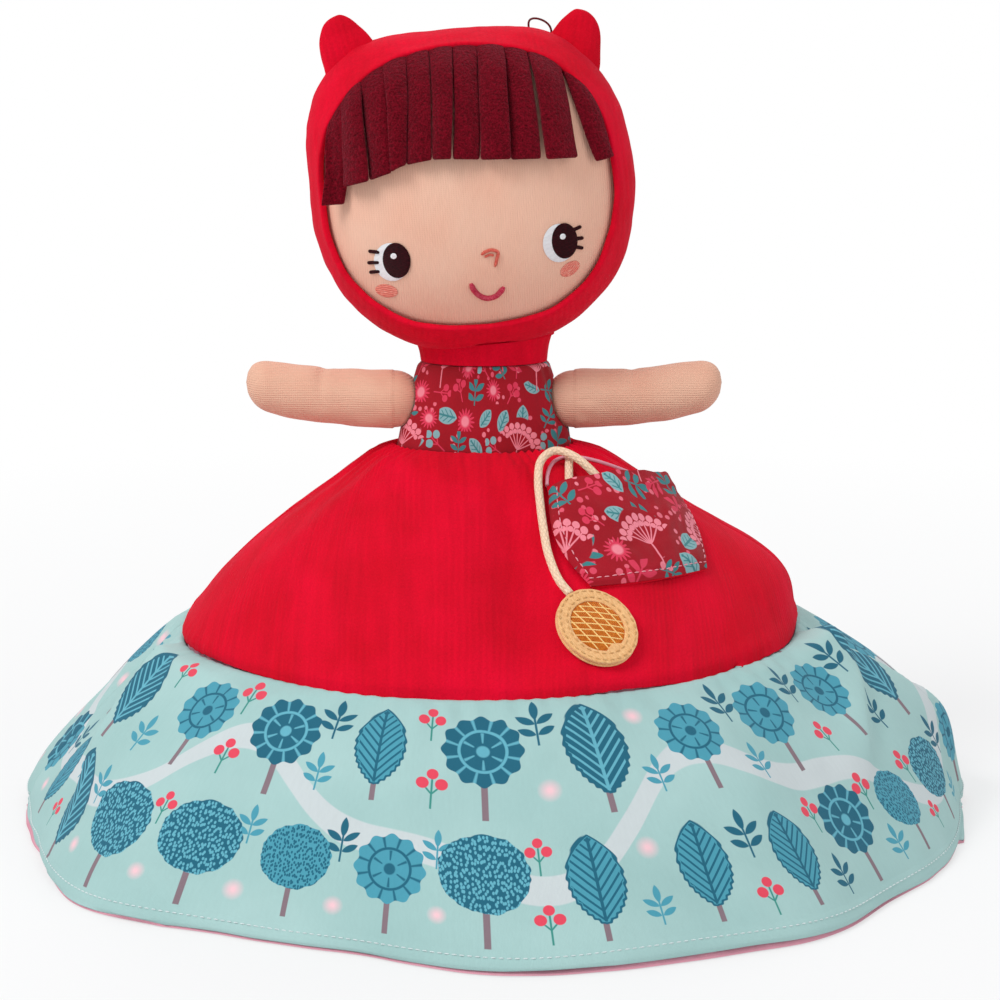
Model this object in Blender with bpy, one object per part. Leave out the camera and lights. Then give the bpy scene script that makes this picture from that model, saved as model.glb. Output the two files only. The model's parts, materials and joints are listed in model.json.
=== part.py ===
# Topsy turvy doll: two stuffed dolls sewn together at the waist, one standing up and one
# hanging head down inside the skirt, so that turning the toy over shows the other doll.
# Metres, +Z up. The dolls look towards -Y. The origin is on the floor under the middle of the hem.

import math

import bmesh
import bpy
from mathutils import Matrix, Vector

# Fits and shared sizes
cloth_gap = 0.0003            # between pieces that touch
floor_flat = 0.0005           # how much of a soft crown the floor presses flat
cut_overrun = 0.004           # how far a cutter passes the face that it cuts

# Upper doll, measured up from the waist seam
waist_height = 0.139
body_axis_x = -0.0054         # the dolls stand a little off the middle of the hem
waist_half_width = 0.0325
waist_half_depth = 0.0195
shoulder_half_width = 0.0240
shoulder_half_depth = 0.0160
torso_height = 0.0325
neck_radius = 0.0160
neck_pivot_rise = 0.0105      # from the torso's top to the middle of the neck's ball

# Head and hood
head_half_width = 0.0562
head_half_depth = 0.0395
head_half_height = 0.0557
head_rise = 0.0525            # from the neck's ball to the middle of the head
head_lean_deg = -4.5
head_yaw_deg = 5.0
hood_wall = 0.0025
face_opening_radius = 0.0510
face_opening_back = 0.0060    # the opening is cut from the front to this far before the middle
crown_power = 3.5             # a flat crown with round corners
crown_slope_share = 0.20      # how much the doll's left side falls in at the top of the crown
chin_power = 2.2
side_power = 2.2
plan_power = 2.3

# Ears on the upper hood
ear_half_width = 0.0118
ear_half_depth = 0.0052
ear_length = 0.0190
ear_place_share = 0.725       # of the hood's half width
left_ear_base_share = 0.765   # of the hood's half height
right_ear_base_share = 0.855
ear_splay_deg = 14.0

# Fringe of cut fleece locks
fringe_thickness = 0.0018
fringe_band = 0.0045
fringe_slot = 0.0007
fringe_span_share = 0.985     # of the widest that the face opening lets it be
lock_width_shares = (0.82, 0.78, 0.96, 0.80, 0.96, 0.96, 0.98, 1.05, 1.22, 1.28, 0.98)
lock_end_shares = (0.02, 0.10, 0.15, 0.18, 0.19, 0.19, 0.19, 0.18, 0.17, 0.15, 0.11)
lower_lock_end_shares = (0.06, 0.22, 0.30, 0.36, 0.40, 0.42, 0.40, 0.36, 0.30, 0.22, 0.06)

# Hanging loop of thread beside the left ear
loop_thread = 0.0011
loop_half_width = 0.0045
loop_height = 0.0075
loop_place_share = 0.52       # of the hood's half width

# Arms
arm_root_radius = 0.0105
arm_radius = 0.0114
arm_length = 0.0545           # from the shoulder joint to the finger tip
arm_lift = 0.0045             # how much the hand bends up
shoulder_reach = 0.0330       # from the body's axis to the shoulder joint
shoulder_rise = 0.0183        # from the waist to the shoulder joint
upper_arm_droop_deg = 0.0
lower_arm_droop_deg = 40.0

# Skirt
skirt_lap = 0.0010            # the tier's top edge stands this far above the waist seam
ring_radius = 0.1120
ring_height = 0.0740
hem_radius = 0.1780
tier_wall = 0.0024            # wall of both tiers, measured level
lining_wall = 0.0012
seam_gap = 0.0002             # between the upper tier and the flounce under it
lining_gap = 0.0010
lining_lift = 0.0004          # the lining ends this far above the floor
tier_power = 1.22             # 1 is a cone, 2 is a quarter circle
flounce_power = 1.15
fold_depth = 0.0075
fold_width_deg = 13.0
tier_fold_angles_deg = (-176.0, -160.0, -131.0, -112.0, -72.0, -49.0, -22.0, -5.0,
                        14.0, 38.0, 58.0, 84.0, 104.0, 127.0, 150.0, 168.0)
tier_fold_shares = (-0.75, 1.0, -0.35, 0.30, -0.25, 0.35, 0.95, -0.80,
                    0.70, -0.55, 0.80, -0.60, 0.75, -0.60, 0.85, 0.15)
hem_fold_angles_deg = (-176.0, -159.0, -141.0, -123.0, -105.0, -87.0, -70.0, -53.0, -36.0, -20.0, -4.0,
                       14.0, 38.0, 58.0, 84.0, 104.0, 127.0, 150.0, 168.0)
hem_fold_shares = (-0.62, -0.67, 0.65, -1.01, -1.19, 0.75, -0.18, 0.62, -0.42, -0.04, -0.45,
                   0.70, -0.55, 0.80, -0.60, 0.75, -0.60, 0.85, 0.15)
tier_fold_share = 0.30        # of the fold's full depth that the seam between the tiers has

# How far the skirt's sides stand out of its round form, at the doll's left and at its right
left_bulge = 0.0125
left_bulge_front_deg = 20.0
left_bulge_back_deg = 40.0
left_tier_fullest_share = 0.66    # down the tier
left_tier_spread_share = 0.18
left_seam_share = 0.42            # of the bulge that is left at the seam between the tiers
right_bulge = 0.0050
right_bulge_deg = 26.0
right_hollow = 0.0035
right_hollow_deg = 60.0
right_hollow_share = 0.30         # down the tier
right_hollow_spread_share = 0.22

# Pocket on the skirt's front, by its corners: angle round the skirt and share down the upper tier
pocket_wall = 0.0012
pocket_back_wall = 0.0010
pocket_gap = 0.0092           # how far the mouth stands open
pocket_corner_angles_deg = (-66.5, -8.1, -30.7, -65.5)
pocket_corner_shares = (0.290, 0.361, 0.597, 0.585)
pocket_back_rise_share = 0.19

# Charm on its cord
cord_diameter = 0.0030
charm_half_width = 0.0140
charm_half_length = 0.0152
charm_wall = 0.0016
charm_angle_deg = -67.2
charm_share = 0.705           # down the upper tier
charm_turn_deg = 21.0         # how far the charm hangs off the steepest way down
charm_window_share = 0.66     # of the charm's own half sizes
cord_straight_share = 2.4     # diameters of cord that leave the charm's rim straight
cord_route = [
    (0.0255, -0.0239, 0.1408),
    (0.0253, -0.0309, 0.1379),
    (0.0252, -0.0409, 0.1332),
    (0.0260, -0.0495, 0.1287),
    (0.0310, -0.0556, 0.1238),
    (0.0385, -0.0550, 0.1216),
    (0.0424, -0.0486, 0.1241),
    (0.0398, -0.0409, 0.1301),
    (0.0342, -0.0357, 0.1363),
    (0.0274, -0.0320, 0.1416),
    (0.0202, -0.0302, 0.1435),
    (0.0152, -0.0344, 0.1406),
    (0.0141, -0.0416, 0.1351),
    (0.0147, -0.0507, 0.1285),
    (0.0157, -0.0610, 0.1218),
    (0.0173, -0.0710, 0.1147),
]

# How finely the forms are drawn
head_columns = 24
head_rows = 12
limb_sides = 12
torso_sides = 20
torso_rows = 6
ball_columns = 20
ball_rows = 12
shoulder_columns = 16
shoulder_rows = 10
opening_sides = 40
ear_rows = 7
lock_rows = 4
loop_steps = 10
tier_columns = 24             # round half of the skirt
tier_rows = 6
flounce_rows = 5
pocket_columns = 10
pocket_rows = 6
charm_sides = 28
cord_points = 46
cord_steps = 12
arm_stations = (0.0, 0.14, 0.32, 0.52, 0.70, 0.82, 0.90, 0.96, 0.99)


def clear_scene():
    for item in list(bpy.data.objects):
        bpy.data.objects.remove(item, do_unlink=True)


def make_material(name, colour, roughness):
    material = bpy.data.materials.new(name)
    material.use_nodes = True
    shader = material.node_tree.nodes["Principled BSDF"]
    shader.inputs["Base Color"].default_value = (*colour, 1.0)
    shader.inputs["Roughness"].default_value = roughness
    shader.inputs["Metallic"].default_value = 0.0
    material.diffuse_color = (*colour, 1.0)
    return material


def add_object(name, mesh, material, parent):
    mesh.materials.append(material)
    mesh.shade_smooth()
    mesh.set_sharp_from_angle(angle=math.radians(50))
    item = bpy.data.objects.new(name, mesh)
    item.parent = parent
    bpy.context.scene.collection.objects.link(item)
    return item


def add_empty(name, location, rotation, parent=None):
    empty = bpy.data.objects.new(name, None)
    empty.empty_display_size = neck_radius
    empty.location = location
    empty.rotation_euler = rotation
    empty.parent = parent
    bpy.context.scene.collection.objects.link(empty)
    return empty


def add_cutter(name, mesh, parent):
    cutter = bpy.data.objects.new(name, mesh)
    cutter.parent = parent
    cutter.hide_render = True
    cutter.display_type = "WIRE"
    bpy.context.scene.collection.objects.link(cutter)
    return cutter


def cut(item, cutter):
    modifier = item.modifiers.new("cut by " + cutter.name, "BOOLEAN")
    modifier.operation = "DIFFERENCE"
    modifier.solver = "EXACT"
    modifier.object = cutter


def finish_mesh(name, form):
    bmesh.ops.recalc_face_normals(form, faces=form.faces)
    mesh = bpy.data.meshes.new(name)
    form.to_mesh(mesh)
    form.free()
    return mesh


def loft(name, rings):
    # A ring of one point is a pole, and any other end ring is closed by one flat face
    form = bmesh.new()
    rows = [[form.verts.new(point) for point in ring] for ring in rings]
    for near, far in zip(rows, rows[1:]):
        count = max(len(near), len(far))
        for i in range(count):
            j = (i + 1) % count
            if len(near) == 1:
                form.faces.new((near[0], far[i], far[j]))
            elif len(far) == 1:
                form.faces.new((near[i], near[j], far[0]))
            else:
                form.faces.new((near[i], near[j], far[j], far[i]))
    for row in (rows[0], rows[-1]):
        if len(row) > 1:
            form.faces.new(row)
    return finish_mesh(name, form)


def wall_between(name, outer, inner, present=None):
    # A closed wall from two grids of points. present says which cells of the grid are there
    rows = len(outer) - 1
    columns = len(outer[0]) - 1
    if present is None:
        present = [[True] * columns for _ in range(rows)]
    form = bmesh.new()
    made = {}

    def corner(side, i, j):
        key = (side, i, j)
        if key not in made:
            made[key] = form.verts.new((outer if side == 0 else inner)[i][j])
        return made[key]

    def there(i, j):
        return 0 <= i < rows and 0 <= j < columns and present[i][j]

    for i in range(rows):
        for j in range(columns):
            if not there(i, j):
                continue
            ring = ((i, j), (i, j + 1), (i + 1, j + 1), (i + 1, j))
            form.faces.new([corner(0, *place) for place in ring])
            form.faces.new([corner(1, *place) for place in reversed(ring)])
            beside = ((i - 1, j), (i, j + 1), (i + 1, j), (i, j - 1))
            for k, place in enumerate(beside):
                if not there(*place):
                    a, b = ring[k], ring[(k + 1) % 4]
                    form.faces.new((corner(0, *a), corner(1, *a), corner(1, *b), corner(0, *b)))
    return finish_mesh(name, form)


def power_curve(angle, power):
    # A point on a unit curve between a circle (power 2) and a square
    across = math.copysign(abs(math.cos(angle)) ** (2 / power), math.cos(angle))
    along = math.copysign(abs(math.sin(angle)) ** (2 / power), math.sin(angle))
    return across, along


def ball(name, radius, columns, rows):
    rings = [[Vector((0, 0, -radius))]]
    for i in range(1, rows):
        angle = math.pi * (i / rows - 0.5)
        rings.append([
            Vector((radius * math.cos(angle) * math.cos(turn),
                    radius * math.cos(angle) * math.sin(turn),
                    radius * math.sin(angle)))
            for turn in (math.tau * j / columns for j in range(columns))])
    rings.append([Vector((0, 0, radius))])
    return loft(name, rings)


# Heads


def head_spread(rise_share):
    # Shares of the head's half width and half depth at a height from -1 at the chin to 1 at the crown
    power = crown_power if rise_share > 0 else chin_power
    width = max(0.0, 1 - abs(rise_share) ** power) ** (1 / power)
    depth = max(0.0, 1 - abs(rise_share) ** side_power) ** (1 / side_power)
    return width, depth


def crown_slope(across, rise_share):
    # The doll's left side, at positive across, falls in towards the crown
    return 1 - crown_slope_share * max(0.0, rise_share) ** 2 if across > 0 else 1


def head_form(name, share, grow):
    # The head's form about its own middle, scaled by share and then grown on every side
    half_width = head_half_width * share + grow
    half_depth = head_half_depth * share + grow
    half_height = head_half_height * share + grow
    rings = [[Vector((0, 0, -half_height))]]
    for i in range(1, head_rows):
        rise = math.sin(math.pi * (i / head_rows - 0.5))
        width, depth = head_spread(rise)
        ring = []
        for j in range(head_columns):
            across, along = power_curve(math.tau * j / head_columns, plan_power)
            ring.append(Vector((half_width * width * crown_slope(across, rise) * across,
                                half_depth * depth * along,
                                half_height * rise)))
        rings.append(ring)
    rings.append([Vector((0, 0, half_height))])
    return loft(name, rings)


def face_point(x, z, share, lift):
    # A point on the front of the head, lifted off it along the surface's own direction
    half_width = head_half_width * share
    half_depth = head_half_depth * share
    half_height = head_half_height * share

    def depth_at(x, z):
        width, depth = head_spread(z / half_height)
        width *= crown_slope(x, z / half_height)
        inside = max(0.0, 1 - abs(x / (half_width * width)) ** plan_power)
        return -half_depth * depth * inside ** (1 / plan_power)

    step = cloth_gap
    slope_x = (depth_at(x + step, z) - depth_at(x - step, z)) / (2 * step)
    slope_z = (depth_at(x, z + step) - depth_at(x, z - step)) / (2 * step)
    outward = Vector((slope_x, -1, slope_z)).normalized()
    return Vector((x, depth_at(x, z), z)) + outward * lift


def build_head(half, share, pivot, skin, lean_deg, yaw_deg):
    tilt = add_empty(half + "_head_pivot", pivot.location, (0, math.radians(lean_deg), math.radians(yaw_deg)),
                     pivot.parent)
    middle = add_empty(half + "_head_middle", (0, 0, head_rise * share), (0, 0, 0), tilt)
    hollow = ball(half + "_neck_hollow", neck_radius * share + cloth_gap, ball_columns, ball_rows)
    neck_cutter = add_cutter(half + "_neck_hollow", hollow, tilt)
    head = add_object(half + "_head", head_form(half + "_head", share, 0), skin, middle)
    cut(head, neck_cutter)
    return middle, neck_cutter


def build_hood(name, share, middle, neck_cutter, cloth):
    hood = add_object(name, head_form(name, share, cloth_gap + hood_wall), cloth, middle)
    inner = add_cutter(name + "_inside", head_form(name + "_inside", share, cloth_gap), middle)
    cut(hood, inner)
    radius = face_opening_radius * share
    front = -(head_half_depth * share + hood_wall + cut_overrun)
    rings = [[Vector((radius * math.cos(turn), y, radius * math.sin(turn)))
              for turn in (math.tau * j / opening_sides for j in range(opening_sides))]
             for y in (front, -face_opening_back)]
    cut(hood, add_cutter(name + "_face_opening", loft(name + "_face_opening", rings), middle))
    cut(hood, neck_cutter)
    return hood


def build_fringe(name, share, middle, fleece, end_shares):
    # Locks side by side under one band, all lying on the forehead inside the hood's face opening
    lift = 2 * cloth_gap          # the flat cells of the locks bridge the forehead
    reach = face_opening_radius * share - 3 * cloth_gap - fringe_thickness
    half_span = reach * fringe_span_share
    total = sum(lock_width_shares)
    edges = []
    left = -half_span
    for width in lock_width_shares:
        right = left + 2 * half_span * width / total
        edges.append((left + fringe_slot / 2, right - fringe_slot / 2))
        left = right
    columns = [x for pair in edges for x in pair]

    def lock_end(j):
        return end_shares[j // 2] * head_half_height * share

    def height_at(i, j):
        x = columns[j]
        top = math.sqrt(reach ** 2 - x ** 2)
        if i == 0:
            return top
        band_end = top - min(fringe_band, (top - lock_end(j)) / 2)
        return band_end + (lock_end(j) - band_end) * (i - 1) / lock_rows

    grids = []
    for rise in (lift + fringe_thickness, lift):
        grids.append([[face_point(columns[j], height_at(i, j), share, rise) for j in range(len(columns))]
                      for i in range(lock_rows + 2)])
    present = [[i == 0 or j % 2 == 0 for j in range(len(columns) - 1)] for i in range(lock_rows + 1)]
    return add_object(name, wall_between(name, grids[0], grids[1], present), fleece, middle)


def build_ear(name, side, middle, cloth, hood_cutter):
    base_share = left_ear_base_share if side > 0 else right_ear_base_share
    base = Vector((side * ear_place_share * head_half_width, 0, base_share * head_half_height))
    rings = []
    for i in range(ear_rows):
        t = i / ear_rows
        spread = (1 - t ** 2.2) ** 0.75
        ring = []
        for j in range(limb_sides):
            turn = math.tau * j / limb_sides
            ring.append(Vector((ear_half_width * spread * math.cos(turn),
                                ear_half_depth * spread ** 0.6 * math.sin(turn),
                                ear_length * t)))
        rings.append(ring)
    rings.append([Vector((0, 0, ear_length))])
    mesh = loft(name, rings)
    mesh.transform(Matrix.Translation(base) @ Matrix.Rotation(side * math.radians(ear_splay_deg), 4, "Y"))
    ear = add_object(name, mesh, cloth, middle)
    cut(ear, hood_cutter)
    return ear


def crown_height(x, y, grow):
    # How high the head's form, grown on every side, stands over a place near its crown
    low, high = 0.0, 1.0
    for _ in range(30):
        rise = (low + high) / 2
        width, depth = head_spread(rise)
        width *= crown_slope(x, rise)
        reach_x = abs(x) / ((head_half_width + grow) * width)
        reach_y = abs(y) / ((head_half_depth + grow) * depth)
        if reach_x ** plan_power + reach_y ** plan_power < 1:
            low = rise
        else:
            high = rise
    return low * (head_half_height + grow)


def build_hanging_loop(name, middle, thread):
    # A thread arch that stands on the hood's crown, behind the seam
    grow = hood_wall + 2 * cloth_gap
    x = loop_place_share * head_half_width
    y = loop_half_width
    left = Vector((x - loop_half_width, y, crown_height(x - loop_half_width, y, grow)))
    right = Vector((x + loop_half_width, y, crown_height(x + loop_half_width, y, grow)))
    points = [left]
    for i in range(1, loop_steps):
        turn = math.pi * i / loop_steps
        arch = loop_height * math.sin(turn) ** 0.6
        points.append(left.lerp(right, (1 - math.cos(turn)) / 2) + Vector((0, 0, arch)))
    points.append(right)
    tube(name, points, loop_thread, thread, middle, 1)


def tube(name, points, diameter, material, parent, sides):
    curve = bpy.data.curves.new(name, "CURVE")
    curve.dimensions = "3D"
    curve.bevel_depth = diameter / 2
    curve.bevel_resolution = sides
    curve.use_fill_caps = True
    spline = curve.splines.new("POLY")
    spline.points.add(len(points) - 1)
    for slot, point in zip(spline.points, points):
        slot.co = (*point, 1.0)
    curve.materials.append(material)
    item = bpy.data.objects.new(name, curve)
    item.parent = parent
    bpy.context.scene.collection.objects.link(item)


# Bodies and arms


def torso_spread(t):
    # Half width and half depth at a share of the torso's height, a little fuller than straight
    bulge = 0.03 * math.sin(math.pi * t)
    width = waist_half_width + (shoulder_half_width - waist_half_width) * t
    depth = waist_half_depth + (shoulder_half_depth - waist_half_depth) * t
    return width * (1 + bulge), depth * (1 + bulge)


def build_torso(half, share, base, cloth, shoulders):
    rings = []
    for i in range(torso_rows + 1):
        t = i / torso_rows
        width, depth = torso_spread(t)
        height = cloth_gap / 2 + (torso_height * share - cloth_gap / 2) * t
        rings.append([Vector((width * share * math.cos(turn), depth * share * math.sin(turn), height))
                      for turn in (math.tau * j / torso_sides for j in range(torso_sides))])
    torso = add_object(half + "_torso", loft(half + "_torso", rings), cloth, base)
    for side, pivot in shoulders.items():
        name = half + "_shoulder_hollow_" + side
        hollow = ball(name, arm_root_radius * share + cloth_gap, shoulder_columns, shoulder_rows)
        cut(torso, add_cutter(name, hollow, pivot))


def build_neck(half, share, base, cloth):
    # A ball with a flat foot on the torso, so that the head rolls on it
    radius = neck_radius * share
    foot = -neck_pivot_rise * share + cloth_gap
    start = math.asin(foot / radius)
    rings = []
    rows = ball_rows // 2
    for i in range(rows):
        angle = start + (math.pi / 2 - start) * i / rows
        rings.append([Vector((radius * math.cos(angle) * math.cos(turn),
                              radius * math.cos(angle) * math.sin(turn),
                              radius * math.sin(angle)))
                      for turn in (math.tau * j / ball_columns for j in range(ball_columns))])
    rings.append([Vector((0, 0, radius))])
    pivot = add_empty(half + "_neck_pivot", (0, 0, (torso_height + neck_pivot_rise) * share), (0, 0, 0), base)
    add_object(half + "_neck", loft(half + "_neck", rings), cloth, pivot)
    return pivot


def arm_radius_at(t):
    # The root is a ball, the arm swells towards the hand and the hand is round
    swell = arm_root_radius + (arm_radius - arm_root_radius) * math.sin(math.pi / 2 * min(1, t / 0.6))
    hand_start = 1 - arm_radius / arm_length
    if t > hand_start:
        swell *= math.sqrt(max(0.0, 1 - ((t - hand_start) / (1 - hand_start)) ** 2))
    return swell


def build_arm(name, share, pivot, skin):
    rings = [[Vector((-arm_root_radius * share, 0, 0))]]
    for i in (1, 2):
        angle = math.pi / 2 * i / 3
        rings.append(arm_ring(-arm_root_radius * math.cos(angle) * share,
                              arm_root_radius * math.sin(angle) * share, 0))
    for t in arm_stations:
        rings.append(arm_ring(arm_length * t * share, arm_radius_at(t) * share, arm_lift * t ** 2 * share))
    rings.append([Vector((arm_length * share, 0, arm_lift * share))])
    add_object(name, loft(name, rings), skin, pivot)


def arm_ring(x, radius, lift):
    return [Vector((x, radius * math.cos(turn), lift + radius * math.sin(turn)))
            for turn in (math.tau * j / limb_sides for j in range(limb_sides))]


def build_half(half, share, flip_deg, droop_deg, lean_deg, yaw_deg, palette):
    # One doll from the waist to the crown, with its arms, neck, head and hood
    base = add_empty(half + "_half", (body_axis_x, 0, waist_height), (0, math.radians(flip_deg), 0))
    shoulders = {}
    for side, sign in (("left", 1), ("right", -1)):
        # The doll's own left is at +X on the upper doll, and turns over with the lower one
        shoulders[side] = add_empty(
            half + "_shoulder_" + side, (sign * shoulder_reach * share, 0, shoulder_rise * share),
            (0, math.radians(-droop_deg), math.pi * (sign < 0)), base)
    build_torso(half, share, base, palette["torso"], shoulders)
    neck_pivot = build_neck(half, share, base, palette["hood"])
    for side, pivot in shoulders.items():
        build_arm(half + "_arm_" + side, share, pivot, palette["skin"])
    return build_head(half, share, neck_pivot, palette["skin"], lean_deg, yaw_deg)


# Skirt


def degrees_from(angle, place_deg):
    return (math.degrees(angle) - place_deg + 180) % 360 - 180


def folds_at(angle, places_deg, shares):
    # How far the folds push the cloth out at an angle round the skirt, as a share of their depth
    return sum(height * math.exp(-(degrees_from(angle, place_deg) / fold_width_deg) ** 2)
               for place_deg, height in zip(places_deg, shares))


def left_fullness(down):
    # The left side is full on the upper tier, pulled in at the seam and full again below it
    if down <= 1:
        fullness = math.exp(-((down - left_tier_fullest_share) / left_tier_spread_share) ** 2)
        return fullness + left_seam_share * down ** 6
    past = min(1.0, down - 1)
    return left_fullness(1) * (1 - past) ** 2 + max(0.0, math.sin(math.pi * past)) ** 1.8


def side_bulge(angle, down):
    # The cloth stands out at both sides, and hollows in below the waist at the doll's right
    left_away = degrees_from(angle, 0)
    right_away = degrees_from(angle, 180)
    left_deg = left_bulge_front_deg if left_away < 0 else left_bulge_back_deg
    left = left_bulge * math.exp(-(left_away / left_deg) ** 2) * left_fullness(down)
    if down <= 1:
        hollow = right_hollow * math.exp(-(right_away / right_hollow_deg) ** 2)
        return left - hollow * math.exp(-((down - right_hollow_share) / right_hollow_spread_share) ** 2)
    right = right_bulge * math.exp(-(right_away / right_bulge_deg) ** 2)
    return left + right * math.sin(math.pi * min(1.0, down - 1) ** 2.6)


def hem_offset():
    # Where the folds leave the middle of the hem's box
    xs, ys = [], []
    for j in range(2 * tier_columns):
        angle = math.pi * j / tier_columns
        radius = hem_radius + fold_depth * folds_at(angle, hem_fold_angles_deg, hem_fold_shares)
        xs.append(radius * math.cos(angle))
        ys.append(radius * math.sin(angle))
    return (max(xs) + min(xs)) / 2, (max(ys) + min(ys)) / 2


hem_middle = hem_offset()
top_half_width = waist_half_width + 2 * cloth_gap + lining_wall + lining_gap + tier_wall
top_half_depth = waist_half_depth + 2 * cloth_gap + lining_wall + lining_gap + tier_wall
top_height = waist_height + skirt_lap


def skirt_point(angle, down, inset):
    # down runs from 0 at the waist over 1 at the seam between the tiers to 2 at the hem.
    # inset is measured level, so each level ring of the wall lies at one height
    if down <= 1:
        turn = math.pi / 2 * down
        out = math.sin(turn) ** (2 / tier_power)
        height = ring_height + (top_height - ring_height) * math.cos(turn) ** (2 / tier_power)
        half_width = top_half_width + (ring_radius - top_half_width) * out
        half_depth = top_half_depth + (ring_radius - top_half_depth) * out
        fold = tier_fold_share * down ** 2 * folds_at(angle, tier_fold_angles_deg, tier_fold_shares)
    else:
        turn = math.pi / 2 * (down - 1)
        out = math.sin(turn) ** (2 / flounce_power)
        height = ring_height * math.cos(turn) ** (2 / flounce_power)
        half_width = half_depth = ring_radius + (hem_radius - ring_radius) * out
        fold = tier_fold_share * (1 - out) * folds_at(angle, tier_fold_angles_deg, tier_fold_shares)
        fold += out * folds_at(angle, hem_fold_angles_deg, hem_fold_shares)
    drift = 0 if down <= 1 else 1 - height / ring_height
    push = fold_depth * fold + side_bulge(angle, down) - inset
    middle_x = body_axis_x * (1 - drift) - hem_middle[0] * drift
    middle_y = -hem_middle[1] * drift
    return Vector((middle_x + (half_width + push) * math.cos(angle),
                   middle_y + (half_depth + push) * math.sin(angle),
                   max(height, 0.0)))


def skirt_outward(angle, down):
    step = cloth_gap
    here = skirt_point(angle, down, 0)
    round_way = skirt_point(angle + step, down, 0) - here
    down_way = skirt_point(angle, down + step, 0) - here
    outward = down_way.cross(round_way).normalized()
    return outward if outward.z > 0 else -outward


def build_tier(name, start, end, rows, first_deg, cloth, drop=0.0):
    # Half of a tier, front or back. drop lowers its upper edge clear of the tier above
    side = -1 if first_deg < 0 else 1
    aside = Vector((0, side * cloth_gap / 2, 0))
    grids = []
    for inset in (0, tier_wall):
        grid = []
        for i in range(rows + 1):
            down = start + (end - start) * i / rows
            row = []
            for j in range(tier_columns + 1):
                angle = math.radians(first_deg) + math.pi * j / tier_columns
                point = skirt_point(angle, down, inset) + aside
                if i == 0:
                    point.z -= drop
                row.append(point)
            grid.append(row)
        grids.append(grid)
    return add_object(name, wall_between(name, grids[0], grids[1]), cloth, None)


def build_lining(name, first_deg, cloth):
    # The lining follows both tiers without a break, so its rows are those of both
    inset = tier_wall + lining_gap
    side = -1 if first_deg < 0 else 1
    aside = Vector((0, side * cloth_gap / 2, 0))
    downs = [i / tier_rows for i in range(tier_rows + 1)]
    downs += [1 + i / flounce_rows for i in range(1, flounce_rows + 1)]
    grids = []
    for depth in (inset, inset + lining_wall):
        grid = []
        for i, down in enumerate(downs):
            row = []
            for j in range(tier_columns + 1):
                angle = math.radians(first_deg) + math.pi * j / tier_columns
                point = skirt_point(angle, down, depth) + aside
                if i == len(downs) - 1:
                    point.z += lining_lift
                row.append(point)
            grid.append(row)
        grids.append(grid)
    return add_object(name, wall_between(name, grids[0], grids[1]), cloth, None)


def build_skirt(velour, print_cloth, lining_cloth):
    for where, first_deg in (("front", -180.0), ("back", 0.0)):
        build_tier("skirt_tier_" + where, 0, 1, tier_rows, first_deg, velour)
        build_tier("skirt_flounce_" + where, 1, 2, flounce_rows, first_deg, print_cloth, drop=seam_gap)
        build_lining("skirt_lining_" + where, first_deg, lining_cloth)


# Pocket and charm


def pocket_place(u, v):
    # Angle and share down the tier, for u along the mouth and v from the mouth to the bottom
    angles = pocket_corner_angles_deg
    downs = pocket_corner_shares
    weights = ((1 - u) * (1 - v), u * (1 - v), u * v, (1 - u) * v)
    angle = sum(weight * value for weight, value in zip(weights, angles))
    down = sum(weight * value for weight, value in zip(weights, downs))
    return math.radians(angle), down


def pocket_point(u, v, lift):
    angle, down = pocket_place(u, v)
    return skirt_point(angle, down, 0) + skirt_outward(angle, down) * lift


def build_pocket(cloth, lining_cloth):
    columns, rows = pocket_columns, pocket_rows
    back_under = 2 * cloth_gap
    back_grids = []
    for lift in (back_under + pocket_back_wall, back_under):
        grid = []
        for i in range(rows + 1):
            row = []
            for j in range(columns + 1):
                u = j / columns
                angle, down = pocket_place(u, 0)
                top = down - pocket_back_rise_share * math.sin(math.pi * u ** 0.7)
                low_angle, low_down = pocket_place(u, 1)
                t = i / rows
                place = angle + (low_angle - angle) * t, top + (low_down - top) * t
                row.append(skirt_point(*place, 0) + skirt_outward(*place) * lift)
            grid.append(row)
        back_grids.append(grid)
    add_object("pocket_back", wall_between("pocket_back", *back_grids), lining_cloth, None)

    front_under = back_under + pocket_back_wall + 2 * cloth_gap
    front_grids = []
    for wall in (pocket_wall, 0):
        grid = []
        for i in range(rows + 1):
            v = i / rows
            row = []
            for j in range(columns + 1):
                u = j / columns
                open_share = math.sin(math.pi * u) ** 0.55 * (1 - v) ** 0.8
                row.append(pocket_point(u, v, front_under + pocket_gap * open_share + wall))
            grid.append(row)
        front_grids.append(grid)
    add_object("pocket_front", wall_between("pocket_front", *front_grids), cloth, None)


def charm_frame():
    # The charm lies on the skirt. Its own +Z points off the cloth and its +Y towards the cord
    angle = math.radians(charm_angle_deg)
    outward = skirt_outward(angle, charm_share)
    middle = skirt_point(angle, charm_share, 0) + outward * cloth_gap
    uphill = (Vector((0, 0, 1)) - outward * outward.z).normalized()
    up = Matrix.Rotation(math.radians(charm_turn_deg), 3, outward) @ uphill
    across = up.cross(outward)
    frame = Matrix((across, up, outward)).transposed().to_4x4()
    frame.translation = middle
    return frame


def charm_ring(share, z):
    return [Vector((charm_half_width * share * math.cos(turn), charm_half_length * share * math.sin(turn), z))
            for turn in (math.tau * j / charm_sides for j in range(charm_sides))]


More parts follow.
